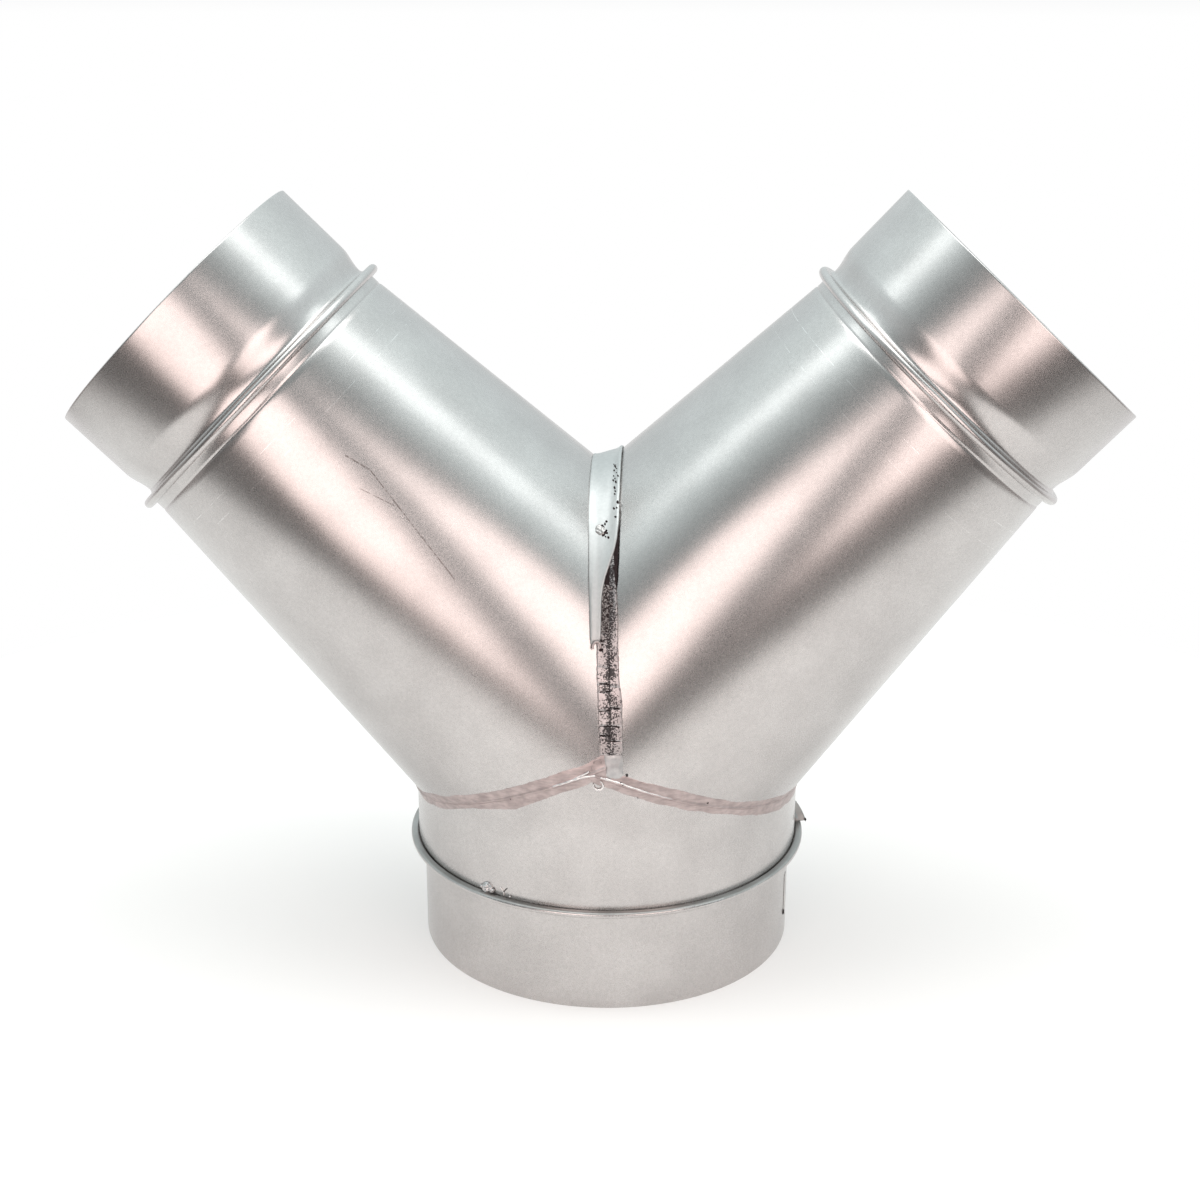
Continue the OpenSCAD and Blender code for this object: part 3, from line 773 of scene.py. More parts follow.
def spigot_edge(rows=30, columns=5):
    """A thin raised edge of the blank that shows on the right of the bottom spigot."""
    grid = np.zeros((rows, columns, 3))
    for i, up in enumerate(np.linspace(0, 1, rows)):
        for j, over in enumerate(np.linspace(0, 1, columns)):
            turn = math.radians(LAP_EDGE_TURN + LAP_EDGE_ARC * over * (0.55 + 0.45 * up))
            r = INLET_R + 0.02 + 0.08 * (1 - over)
            z = LAP_EDGE_LOW + LAP_EDGE_LENGTH * up
            grid[i, j] = (r * math.cos(turn), r * math.sin(turn), z)
    return strip("spigot_edge", grid, 0.22, sheet_steel)


spigot_edge()


# %% [markdown]
# ## Laps inside the tubes
# Each tube's blank laps over itself by eight millimetres, and the lap lies inside the bore.
# From the ends it is seen as a second layer with a straight edge.


# %% Laps
LAP_WIDTH = 8.0
LAP_DEPTH = 1.45 * SHEET
LAP_STOPS_SHORT = LAND_WIDTH + GROOVE_RUN
LAPS = (("inlet_lap", None, -4.0, 0.4, RING_FLOOR - 0.4),
        ("trunk_lap", None, 150.0, 37.0, 72.0),
        ("left_lap", LEFT, 130.0, None, REACH[LEFT] - LAP_STOPS_SHORT),
        ("right_lap", RIGHT, 40.0, None, REACH[RIGHT] - LAP_STOPS_SHORT))
TUBE_R = {"inlet_lap": INLET_R, "trunk_lap": TRUNK_R}


def lap(name, side, start, low, high, rows=60, columns=9):
    """Second layer of sheet inside a tube, from one height to another."""
    arc_r = TUBE_R.get(name, TRUNK_R)
    grid = np.zeros((rows, columns, 3))
    for j, turn in enumerate(np.linspace(0, LAP_WIDTH, columns)):
        angle = math.radians(start) + turn / arc_r
        first = low if low is not None else first_along(side, angle) + 0.5
        for i, share in enumerate(np.linspace(0, 1, rows)):
            s = first + share * (high - first)
            r = (arc_r if side is None else cone_r(side, s)) - LAP_DEPTH
            grid[i, j] = (r * math.cos(angle), r * math.sin(angle), s)
    if side is not None:
        grid = grid @ branch_place(side).T + np.array([0, 0, AXIS_Z])
    return strip(name, grid, SHEET * 0.9, sheet_steel)


for settings in LAPS:
    lap(*settings)


# %% [markdown]
# ## Lip over the crotch
# The left branch's sheet runs on past the seam as a lip. It bridges the valley between the
# branches, lies on the right branch, and narrows to a tongue down the front and the back.
# Its middle surface is an arch, half an ellipse seen from the side, that is carried across
# the valley, and the lip's width at each height is read from a short outline.

# %% Lip
LIP_BEARING = 1.5
LIP_TIP = 41.0
LIP_DROPS = (-20, 5, 10, 13.5, 16.4, 19.1, 23.3, 26.5, 30, 41)
LIP_RIGHT_EDGE = (5.9, 6.1, 6.0, 5.5, 4.7, 3.6, 1.8, 1.1, 0.7, 0.5)
LIP_LEFT_EDGE = (-3.0, -3.0, -2.9, -2.7, -2.6, -2.5, -2.4, -2.3, -2.2, -2.0)


def lip_middle(rows=150, columns=19):
    """Middle surface of the lip, from its front tongue over the crotch to the back."""
    left_w, right_w = 3.0, 7.0 - LIP_BEARING
    rise = (right_w / math.tan(INNER[RIGHT]) - left_w / math.tan(INNER[LEFT])) / (left_w + right_w)
    slope = math.atan(rise)
    up = np.array([-math.sin(slope), 0, math.cos(slope)])
    across = np.array([math.cos(slope), 0, math.sin(slope)])
    seam_low = -TRUNK_R / math.sin((LEAN[LEFT] + LEAN[RIGHT] - TAPER[LEFT] - TAPER[RIGHT]) / 2)
    middle_z = (CROTCH_Z + seam_low) / 2
    tip_share = (CROTCH_Z - LIP_TIP - middle_z) / (CROTCH_Z - middle_z)
    top = (CROTCH_Z + left_w / math.tan(INNER[LEFT])) * math.cos(slope)
    top += (left_w - CROTCH_X) * math.sin(slope)
    half_height = (top - (CROTCH_Z - LIP_TIP) * math.cos(slope)) / (1 - tip_share)
    half_width = TRUNK_R + SHEET
    centre = top - half_height
    first = math.asin(tip_share)
    grid = np.zeros((rows, columns, 3))
    tan_s, cos_s = math.tan(slope), math.cos(slope)
    for i, angle in enumerate(np.linspace(first, math.pi - first, rows)):
        y, t = -half_width * math.cos(angle), centre + half_height * math.sin(angle)
        low = MEET_X * tan_s + t / cos_s
        left = right = 0.0
        for _ in range(6):
            left = np.interp(CROTCH_Z - low - left * tan_s, LIP_DROPS, LIP_LEFT_EDGE)
            right = np.interp(CROTCH_Z - low - right * tan_s, LIP_DROPS, LIP_RIGHT_EDGE)
        ragged = 0.25 * wander(i * 0.13, 3.1, 0)
        for j, share in enumerate(np.linspace(0, 1, columns)):
            d = left + (right + ragged - left) * share
            x = seam_x(low + d * tan_s) + d
            base = across * (x / cos_s + t * tan_s) + up * centre
            way = np.array([0, y, 0]) + up * (t - centre)
            arch = np.linalg.norm(way)
            way /= arch
            lie_left = skin_reach(LEFT, base, way, 0.1 + 0.5 * min(share * 6, 1))
            lie_right = skin_reach(RIGHT, base, way, 0.55)
            reach = soft_max(soft_max(arch + 0.2, lie_right, 0.5), lie_left, 0.6)
            wave = 0.18 * wander(i * 0.06, share * 2.4, 7.7)
            grid[i, j] = base + way * (reach + wave)
    grid[..., 2] += AXIS_Z
    return grid


lip_grid = lip_middle()
LIP_THICK = 0.9
lip_thick = thin_ends(len(lip_grid), LIP_THICK, 0.4, 0.75)
lip_steel = galvanised("worn_lip", (0.64, 0.64, 0.635), (0.54, 0.545, 0.54), (0.42, 0.56))
strip("seam_lip", lip_grid, lip_thick, lip_steel)

# %% [markdown]
# ## Pressed edges of the seam
# Below the lip the two sheets' edges are turned out and hammered flat towards the right,
# one on each side of a thin open slit. Both were snipped into short tabs so that they
# would bend round the curve, and flux and dirt have stained them. Close to the slit the
# stain is laid on thicker, which also paints the slit's shade onto them.


# %% Stained sheet, with painted shade beside the slit
SLIT_AT = 3.35
SLIT_HALF = 0.2
GRIME_AND_SHADE = (0.014, 0.008, 0.009)
DRIED_AND_SHADE = ((0.4, GRIME_AND_SHADE), (0.75, (0.045, 0.030, 0.029)))
CRUMBLED = ((0.46, GRIME_AND_SHADE), (0.53, (0.09, 0.07, 0.068)), (0.58, (0.34, 0.31, 0.30)))


def stained_and_shaded(name):
    """Sheet under dark flux residue, specked away from the slit and close-set beside it, where the
    darkening also paints the slit's shade.
    """
    material = galvanised(name, (0.62, 0.575, 0.57), (0.50, 0.45, 0.445), (0.34, 0.46))
    tree = material.node_tree
    shader = tree.nodes["Principled BSDF"]
    place = tree.nodes.new("ShaderNodeTexCoord").outputs["Object"]
    across = (math.cos(SEAM_TILT), 0, -math.sin(SEAM_TILT))
    from_slit = along_node(tree, place, across, (MEET_X + SLIT_AT, 0, AXIS_Z + MEET_Z))
    away = math_node(tree, "ABSOLUTE", from_slit)
    # Darker close to the slit: partly flux residue, partly painted shade of the slit.
    near_slit_flux_and_shade = math_node(tree, "MULTIPLY_ADD", away, -0.06, 0.285)
    specks = noise_node(tree, place, 1900, 2, 0.7)
    patches = noise_node(tree, place, 210, 3)
    cloud = math_node(tree, "MULTIPLY_ADD", patches, 0.42, specks)
    amount = math_node(tree, "ADD", cloud, near_slit_flux_and_shade)
    mask = ramp_node(tree, amount, ((0.885, 0.0), (0.915, 0.97)))
    clean = shader.inputs["Base Color"].links[0].from_socket
    tree.links.new(mix_node(tree, mask, clean, (*GRIME_AND_SHADE, 1)), shader.inputs["Base Color"])
    tree.links.new(ramp_node(tree, mask, ((0, 1.0), (1, 0.0))), shader.inputs["Metallic"])
    return material


def grime(name, stops):
    """Dried flux and dirt, dull, in the colours of the ramp's stops; the darkest copy also lies in
    the slit as painted shade.
    """
    material, tree, shader = new_material(name)
    place = tree.nodes.new("ShaderNodeTexCoord").outputs["Object"]
    crumbs = noise_node(tree, place, 1800, 4, 0.7)
    tone = ramp_node(tree, crumbs, stops)
    tree.links.new(tone, shader.inputs["Base Color"])
    shader.inputs["Roughness"].default_value = 0.75
    shader.inputs["Specular IOR Level"].default_value = 0.15
    tree.links.new(bump_node(tree, crumbs, 0.8, 0.15), shader.inputs["Normal"])
    return material


stained_shaded_steel = stained_and_shaded("stained_shaded_sheet")
dark_grime_and_shade = grime("dried_flux_and_shade", DRIED_AND_SHADE)
crumbled_grime = grime("crumbled_flux", CRUMBLED)

# %% Pressed edges
EDGE_HEIGHTS = (88, 90, 105, 112, 120, 130, 140, 150)
LEFT_EDGE_FROM = (0.6, 0.5, 0.0, -0.2, -0.2, -0.3, -0.3, -0.3)
RIGHT_EDGE_TO = (6.8, 6.9, 6.8, 5.9, 5.7, 5.6, 4.9, 4.2)
LEFT_SNIPS = (94.5, 97.4, 101.9, 107.6, 109.8, 115.0)
RIGHT_SNIPS = (92.8, 97.4, 102.9, 109.5)
EDGE_FOOT = 88.5


def on_edges(d, z, facing, lift):
    """A point over the pressed edges: d right of the seam, at a height, lifted off the skin."""
    start = np.array([seam_x(z - AXIS_Z) + d, 0, z - AXIS_Z])
    way = np.array([0, float(facing), 0])
    reach = soft_max(skin_reach(LEFT, start, way, lift), skin_reach(RIGHT, start, way, lift), 0.25)
    return np.array([start[0], facing * float(reach), z])


def pressed_edge(name, low, high, start, end, snips, facing, seed):
    """One pressed edge, front (-1) or back (1), between two distances from the seam."""
    heights = np.arange(low, high, 0.3)
    grid = np.zeros((len(heights), 9, 3))
    for i, z in enumerate(heights):
        first, last = np.interp(z, EDGE_HEIGHTS, start), np.interp(z, EDGE_HEIGHTS, end)
        rag = 0.16 * wander(z * 0.9, seed, 0)
        snip = min(abs(z - s) for s in snips)
        sink = 0.34 * max(0, 1 - snip / 0.35)
        for j, share in enumerate(np.linspace(0, 1, 9)):
            lift = 0.34 - sink + 0.12 * wander(z * 0.35, share, seed)
            grid[i, j] = on_edges(first + rag + (last - first) * share, z, facing, lift)
    thick = thin_ends(len(heights), 0.55, 0.25, 0.45)
    return strip(name, facing_out(grid, facing), thick, stained_shaded_steel)


slit_left = (SLIT_AT - SLIT_HALF,) * len(EDGE_HEIGHTS)
slit_right = (SLIT_AT + SLIT_HALF,) * len(EDGE_HEIGHTS)
for facing, where in ((-1, "front"), (1, "back")):
    pressed_edge("left_edge_" + where, EDGE_FOOT, 124.5, LEFT_EDGE_FROM, slit_left,
                 LEFT_SNIPS, facing, 1.7)
    pressed_edge("right_edge_" + where, EDGE_FOOT, 150.0, slit_right, RIGHT_EDGE_TO,
                 RIGHT_SNIPS, facing, 5.2)

# %% [markdown]
# ## Flux residue and dark fills
# Flux ran out of the seam and dried in the snips and as single crumbs. The wedge between
# the lip's slanting edge and the right edge is filled black at the top and crumbled lower
# down, and the slit holds a dark cord of painted shade. Painted on, these would have no
# edge of their own, so they are thin strips in the wedge, cords along the slit and the snips, and
# small mounds for single crumbs.

# %% Dark fill in the wedge beside the lip
WEDGE_FOOT, WEDGE_TURNS_BLACK, WEDGE_TOP = 121.5, 137.1, 157
WEDGE_HEIGHTS = (121.5, 124, 131, 138, 146, 157)
WEDGE_TO = (3.3, 3.5, 4.3, 5.5, 5.9, 6.2)


def dark_wedge_fill(name, facing, foot, top, material):
    """A dark strip that fills the narrow gap between the lip's slanting edge and the right edge."""
    heights = np.arange(foot, top, 0.4)
    grid = np.zeros((len(heights), 7, 3))
    for i, z in enumerate(heights):
        lip_edge = np.interp(CROTCH_Z + AXIS_Z - z + 6, LIP_DROPS, LIP_RIGHT_EDGE) - 0.8
        right = np.interp(z, WEDGE_HEIGHTS, WEDGE_TO)
        for j, share in enumerate(np.linspace(0, 1, 7)):
            lumps = 0.12 * wander(z * 0.8, share * 3, 5.5)
            grid[i, j] = on_edges(lip_edge + (right - lip_edge) * share, z, facing, 0.42 + lumps)
    return strip(name, facing_out(grid, facing), 0.3, material)


for facing, where in ((-1, "front"), (1, "back")):
    dark_wedge_fill("dark_wedge_" + where, facing, WEDGE_TURNS_BLACK, WEDGE_TOP, dark_grime_and_shade)
    dark_wedge_fill("crumbled_wedge_" + where, facing, WEDGE_FOOT, WEDGE_TURNS_BLACK + 0.2, crumbled_grime)

# %% Painted shade in the slit, grime in the snips
# The cord in the slit is painted shade: a dark line put in the open gap between the two edges.
slit_path = [on_edges(SLIT_AT, z, -1, 0.28) for z in np.arange(89.5, 148, 0.6)]
slit_shade_radii = [0.25 + 0.12 * wander(i * 0.35, 0, 1.1) for i in range(len(slit_path))]
cord("slit_painted_shade", slit_path, slit_shade_radii, dark_grime_and_shade)


def snip_grime(name, z, start, end, tilt):
    """A dark cross line where the edge was snipped and the flux ran in."""
    shares = np.linspace(0, 1, 9)
    path = [on_edges(start + (end - start) * s, z + tilt * (s - 0.5), -1, 0.5) for s in shares]
    thick = 0.17 + 0.08 * np.sin(shares * 7 + z)
    cord(name, path, thick, dark_grime_and_shade, 6)


for number, z in enumerate(LEFT_SNIPS[:5]):
    snip_grime(f"left_snip_{number}", z, 0.3, 3.2, 0.5 * math.sin(z))
for number, z in enumerate(RIGHT_SNIPS[:3]):
    snip_grime(f"right_snip_{number}", z, 3.5, 6.4, 0.4 * math.cos(z))

# %% Grime on the right side
CORNER_TIP_R = 68.75


def side_grime(name, degrees, radius, shift, height, size, rise, seed, steps):
    """A crumb of grime on the right of the bottom spigot or its ring, shifted to the right."""
    turn = math.radians(degrees)
    c, k = math.cos(turn), math.sin(turn)
    mound(name, (radius * c + shift, radius * k, height), (-k, c, 0), UP, size, rise,
          dark_grime_and_shade, "sheet", seed, steps)


side_grime("spigot_grime", -12.7, INLET_R, 0.1, 9.7, (0.55, 1.1), 0.35, 2, 10)
side_grime("corner_grime", OPEN_FROM, CORNER_TIP_R, 0, 36.4, (0.5, 0.6), 0.3, 6, 8)

# %% [markdown]
# ## Flecks on the lip
# The lip carries a pitted spot of flux, dark crumbs round it, and more flecks up its right
# side. The lip leans far back, so a fleck that is only moved forward would be buried in
# it. Each one is placed on the lip's own middle surface and lifted along its normal. A
# seeded random draw scatters them in the same way at each run.

# %% Places on the lip
def lip_depth(x, z):
    """How far back the middle of the lip is, at a place seen from the front."""
    front = lip_grid[:lip_grid.shape[0] // 2]
    depths = [np.interp(x, row[:, 0], row[:, 1]) for row in front]
    heights = [np.interp(x, row[:, 0], row[:, 2]) for row in front]
    return float(np.interp(z, heights, depths))


def on_lip(d, z, lift=0.0):
    """A point on the lip's front face, d right of the seam, and two directions along the face."""
    x = seam_x(z - AXIS_Z) + d
    along = np.array([1, (lip_depth(x + 0.3, z) - lip_depth(x - 0.3, z)) / 0.6, 0])
    upward = np.array([0, (lip_depth(x, z + 0.3) - lip_depth(x, z - 0.3)) / 0.6, 1])
    out = np.cross(along, upward)
    out /= np.linalg.norm(out)
    return np.array([x, lip_depth(x, z), z]) + out * (LIP_THICK / 2 + lift), along, upward


# %% Residue on the lip
PITS = random.Random(7)
FLECKS, FLECKS_NEAR_PATCH = 36, 15
pit_grey = galvanised("pitted_flux", (0.62, 0.61, 0.60), (0.40, 0.37, 0.36), (0.3, 0.5))
mound("pitted_patch", *on_lip(0.3, 150.8), (1.7, 1.9), 0.4, pit_grey, "sheet", 4.0)
for number in range(FLECKS):
    near_patch = number < FLECKS_NEAR_PATCH
    d = PITS.uniform(0.9, 3.1) if near_patch else PITS.uniform(4.0, 5.9)
    z = PITS.uniform(149.0, 153.2) if near_patch else 165.5 - 11 * PITS.random() ** 1.6
    place = on_lip(d, z, 0.1)
    size = PITS.uniform(0.2, 0.45)
    shape = (size, size * PITS.uniform(0.7, 1.6))
    mound(f"lip_fleck_{number}", *place, shape, 0.2, dark_grime_and_shade, "sheet", number, 6)

# %% [markdown]
# ## Sealer along the lower joints
# Both lower joints were smeared with a pinkish-grey sealer. A finger or a spatula pulled it
# along, so it is thin, its edges wander, and a small ridge stays on the joint itself. Each
# band is a grid round the trunk: the lower half lies on the trunk and the upper half on the
# branch. Noise in its width and height does the rest.


# %% Sealer material
DRAWN_SIDEWAYS = (0.22, 0.22, 1.0)


def smeared_sealer(name, pale, dark, rough):
    """Sealer drawn out along the joint in streaks, over metal that still shines through."""
    material, tree, shader = new_material(name)
    place = tree.nodes.new("ShaderNodeTexCoord").outputs["Object"]
    stretch = tree.nodes.new("ShaderNodeVectorMath")
    stretch.operation = "MULTIPLY"
    stretch.inputs[1].default_value = DRAWN_SIDEWAYS
    tree.links.new(place, stretch.inputs[0])
    streaks = noise_node(tree, stretch.outputs["Vector"], 1300, 4, 0.6)
    clouds = noise_node(tree, place, 260, 4, 0.6)
    fine = noise_node(tree, place, 2600, 3, 0.7)
    tone = spread_node(tree, clouds, dark, pale)
    drawn = ramp_node(tree, streaks, ((0.35, 0.78), (0.6, 1.0)))
    tree.links.new(mix_node(tree, 1.0, tone, drawn, "MULTIPLY"), shader.inputs["Base Color"])
    shader.inputs["Metallic"].default_value = 0.7
    tree.links.new(spread_node(tree, fine, *rough), shader.inputs["Roughness"])
    tree.links.new(bump_node(tree, streaks, 0.6, 0.18), shader.inputs["Normal"])
    return material


SMEAR_PALE, SMEAR_DARK, SMEAR_ROUGH = (0.60, 0.505, 0.49), (0.44, 0.362, 0.352), (0.32, 0.48)
# The pressed paste is the sealer made smoother and much paler: the smoothness is real, the paleness
# is a painted highlight.
PRESSED_HIGHLIGHT_PALE, PRESSED_HIGHLIGHT_DARK, PRESSED_ROUGH = (0.92, 0.89, 0.88), (0.82, 0.79, 0.78), (0.14, 0.24)
sealer_paste = smeared_sealer("smeared_sealer", SMEAR_PALE, SMEAR_DARK, SMEAR_ROUGH)
paste_with_painted_highlight = smeared_sealer("crease_painted_highlight", PRESSED_HIGHLIGHT_PALE, PRESSED_HIGHLIGHT_DARK, PRESSED_ROUGH)

# %% Sealer bands
BAND_UP = {LEFT: ((0, 9, 16, 26, 41, 55, 62, 64), (4.0, 4.0, 3.9, 4.1, 3.6, 2.4, 1.2, 0.8)),
           RIGHT: ((0, 12, 25, 32, 46, 56, 62, 64), (2.6, 3.4, 4.2, 3.2, 2.3, 2.4, 2.2, 2.0))}
BAND_DOWN = {LEFT: ((0, 9, 16, 26, 41, 54, 64), (3.0, 2.9, 3.0, 4.0, 2.0, 2.4, 2.0)),
             RIGHT: ((0, 6, 26, 41, 50, 56, 64), (2.4, 2.5, 2.6, 2.2, 3.2, 3.4, 3.0))}
BAND_HALF_TURN = 92


def sealer_band(side, name, rows=420):
    """Sealer along one lower joint, from the front point round the outside to the back."""
    upper = np.array([0.07, 0.15, 0.24, 0.4, 0.6, 0.8, 0.94, 1])
    shares = np.concatenate([-upper[::-1], [0], upper])
    turns = np.radians(np.linspace(-BAND_HALF_TURN, BAND_HALF_TURN, rows))
    middle_angle = math.pi if side == LEFT else 0.0
    grid = np.zeros((rows, len(shares), 3))
    for i, turn in enumerate(turns):
        angle = middle_angle + turn
        c, k = math.cos(angle), math.sin(angle)
        away = abs(TRUNK_R * c)
        joint = MITRE[side][0] + side * TRUNK_R * c * -MITRE[side][1]
        torn = 0.25 * wander(angle * 60, side, 8.1)
        up = np.interp(away, *BAND_UP[side]) + 0.55 * wander(angle * 9, side, 0.3) + torn
        down = np.interp(away, *BAND_DOWN[side]) + 0.5 * wander(angle * 11, side, 4.3) - torn
        for j, share in enumerate(shares):
            z = joint + (share * up if share > 0 else share * down)
            start_at, way = np.array([0, 0, z]), np.array([c, k, 0])
            edge = 1 - abs(share) ** 6
            ridge = math.exp(-(share / 0.12) ** 2)
            lumps = wander(angle * 14, share * 1.5, side)
            drawn = wander(angle * 4, share * 7, side)
            lift = -0.1 + 0.2 * edge + 0.5 * ridge + 0.08 * lumps + 0.08 * drawn
            reach = TRUNK_R + lift
            if share > 0:
                reach = skin_reach(side, start_at, way, lift)
            grid[i, j] = (c * reach, k * reach, z + AXIS_Z)
    return strip(name, grid[:, ::-1], 0.22, sealer_paste)


left_sealer = sealer_band(LEFT, "left_sealer")
right_sealer = sealer_band(RIGHT, "right_sealer")
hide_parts("left_seam_sealer")
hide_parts("right_seam_sealer")

# %% [markdown]
# ## Creases, curls and crumbs of sealer
# Where the paste was pressed into the corner it left smooth ridges, and where the tool
# was lifted it curled up as shavings. The ridges and a curl wear a paler copy of the
# sealer, whose paleness is a painted highlight. All are cords: a ring of points carried
# along a path, thicker and thinner on the way. The hair scratch below the point is one as well.

# %% Places on the trunk and the joints
def on_trunk(x, z, lift):
    """A point on the trunk's front at a place across and a height."""
    r = TRUNK_R + lift
    return np.array([x, -math.sqrt(r * r - x * x), z])


def joint_height(side, x):
    """Height of a lower joint at a place across the front."""
    height, slope = TRUE_MITRE[side]
    return AXIS_Z + height - side * x * slope


# %% Creases of sealer
def crease(name, side, start, end, above, radius):
    """A ridge where the sealer was pressed into the joint, fading outwards; its paler paste is a
    painted highlight.
    """
    shares = np.linspace(0, 1, 60)
    path, thick = [], []
    for share in shares:
        x = start + (end - start) * share
        z = joint_height(side, x) + np.interp(share, (0, 0.15, 1), above)
        z += 0.25 * wander(x * 0.35, side, 6.1)
        path.append(on_trunk(x, z, 0.42))
        swell = 1 + 0.4 * wander(x * 0.8, side, 2.6)
        thick.append(max(0.04, radius * swell * (1 - share ** 2.2)))
    cord(name, path, thick, paste_with_painted_highlight)


crease("right_crease", RIGHT, 0.4, 27.0, (0.2, 0.7, 0.3), 0.38)
crease("left_crease", LEFT, -1.0, -21.0, (1.2, 2.3, 2.2), 0.42)
crease("left_crease_fork", LEFT, -3.0, -10.0, (3.4, 3.2, 2.3), 0.30)
hair = [on_trunk(9.3 + 2.7 * share + 0.5 * math.sin(3 * share), 79.0 - 5.2 * share, 0.06)
        for share in np.linspace(0, 1, 14)]
cord("hair_scratch", hair, 0.075, dark_grime_and_shade, 5)


# %% Curls and crumbs
CURL_STEPS = 28


def on_front_edges(x, z, lift):
    """A point over the pressed edges in front."""
    return on_edges(x, z, -1, lift)


def curl(name, centre, radius, first, last, thick, surface, material):
    """A curled shaving of paste: an arc on a surface that lifts as it turns."""
    path = []
    for k, turn in enumerate(np.radians(np.linspace(first, last, CURL_STEPS))):
        x, z = centre[0] + radius * math.cos(turn), centre[1] + radius * math.sin(turn)
        path.append(surface(x, z, 0.3 + 0.25 * k / CURL_STEPS))
    radii = thick * (0.55 + 0.45 * np.sin(np.linspace(0.3, 2.9, CURL_STEPS)))
    cord(name, path, radii, material)


curl("curl_under_point", (-0.15, 78.8), 1.5, 165, 425, 0.36, on_trunk, paste_with_painted_highlight)
curl("curl_over_point", (-0.6, 86.0), 1.1, -20, 190, 0.2, on_front_edges, sealer_paste)
curl("curl_at_tongue", (-0.5, 120.6), 1.15, -30, 215, 0.38,
     lambda x, z, lift: on_front_edges(x, z, lift + 0.7), sealer_paste)

TONGUE_CRUMBS = ((0.9, 119.4, 0.7), (1.2, 120.9, 0.4))
SEALER_CRUMBS = ((6.6, 79.6, 0.45), (8.6, 81.9, 0.35), (7.4, 79.0, 0.4),
                 (-27.6, 70.9, 0.35), (33.5, 69.4, 0.35))
for number, (x, z, size) in enumerate(TONGUE_CRUMBS):
    mound(f"tongue_grime_{number}", on_front_edges(x, z, 0.7), ACROSS, UP,
          (size, size * 0.7), 0.3, dark_grime_and_shade, "sheet", number, 8)
for number, (x, z, size) in enumerate(SEALER_CRUMBS):
    mound(f"sealer_grime_{number}", on_trunk(x, z, 0.5), ACROSS, UP,
          (size, size * 0.6), 0.25, dark_grime_and_shade, "sealer", number, 8)

# %% [markdown]
# ## Solder
# A smooth grey patch of solder closes the foot of the seam, and a small blob was let fall
# on the ring. Solder melts, wets the sheet and thins out to nothing at its edge, so both
# are low mounds: a grid whose height falls to zero at the rim.


# %% Solder material
def dull_solder():
    """Tin-lead grey metal, duller and darker than the zinc round it."""
    material, tree, shader = new_material("dull_solder")
    coordinates = tree.nodes.new("ShaderNodeTexCoord").outputs["Object"]
    cloud = noise_node(tree, coordinates, 700, 4, 0.6)
    tone = spread_node(tree, cloud, (0.46, 0.45, 0.45), (0.60, 0.585, 0.58))
    tree.links.new(tone, shader.inputs["Base Color"])
    shader.inputs["Metallic"].default_value = 0.9
    shader.inputs["Roughness"].default_value = 0.42
    tree.links.new(bump_node(tree, cloud, 0.4, 0.12), shader.inputs["Normal"])
    return material


solder_metal = dull_solder()


# %% Solder patch at the foot of the seam
PATCH_MIDDLE, PATCH_HALF_HEIGHT = 85.2, 5.0
PATCH_FROM_SEAM, PATCH_HALF_WIDTH = 4.2, 2.9


def solder_patch(name, facing, rows=40, columns=24):
    """Mound of solder over the lower end of the slit, in front (-1) or behind (1)."""
    grid = np.zeros((rows, columns, 3))
    for i, down in enumerate(np.linspace(-1, 1, rows)):
        for j, over in enumerate(np.linspace(-1, 1, columns)):
            z = PATCH_MIDDLE + PATCH_HALF_HEIGHT * down
            ragged = 1 + 0.12 * wander(down * 2, 0, facing)
            x = seam_x(z - AXIS_Z) + PATCH_FROM_SEAM + PATCH_HALF_WIDTH * over * ragged
            rise = (1 - abs(down) ** 3) * (1 - abs(over) ** 3)
            start_at, way = np.array([x, 0, z - AXIS_Z]), np.array([0, float(facing), 0])
            lift = -0.15 + 0.7 * rise + 0.1 * wander(down * 3, over * 3, 9)
            grid[i, j] = (x, facing * float(skin_reach(RIGHT, start_at, way, lift)), z)
    return strip(name, facing_out(grid, facing), 0.2, solder_metal)


front_patch = solder_patch("seam_solder_front", -1)
back_patch = solder_patch("seam_solder_back", 1)
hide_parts("seam_solder")
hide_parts("seam_solder")

# %% Dab of solder on the ring
DAB_TURN = -123.8
DROPS = ((-121.9, 36.9, 1.0), (-125.6, 37.2, 0.8), (-116.0, 36.6, 0.35))
SCRAPE_TURN, SCRAPE_HEIGHT = -118.1, 37.6
SCRAPE_ARMS = ((1.1, 1.5), (-1.1, 1.5), (0.1, -1.4))


def by_ring(turn, height, out=0.0):
    """A point on the trunk's wall just over the ring, with its tangent."""
    a = math.radians(turn)
    r = TRUNK_R + out
    c, k = math.cos(a), math.sin(a)
    return np.array([r * c, r * k, height]), np.array([-k, c, 0])


bright_solder = dull_solder()
bright_solder.name = "bright_solder"
bright_solder.node_tree.nodes["Principled BSDF"].inputs["Roughness"].default_value = 0.24
dab_at, dab_right = by_ring(DAB_TURN, INLET_HEIGHT + 1.2)
dab = mound("ring_dab", dab_at, dab_right, UP, (2.3, 1.9), 1.6, bright_solder, "solder", 2.0, 30)
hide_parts("ring_solder")
for number, (turn, height, size) in enumerate(DROPS):
    at, right = by_ring(turn, height, 0.3)
    mound(f"ring_drop_{number}", at, right, UP, (size, size * 0.8), size,
          bright_solder, "solder", number, 12)
for number, (turn, rise) in enumerate(SCRAPE_ARMS):
    path = [by_ring(SCRAPE_TURN + turn * share, SCRAPE_HEIGHT + rise * share, 0.12)[0]
            for share in np.linspace(0, 1, 8)]
    cord(f"scrape_{number}", path, 0.16, paste_with_painted_highlight if number else dark_grime_and_shade, 6)

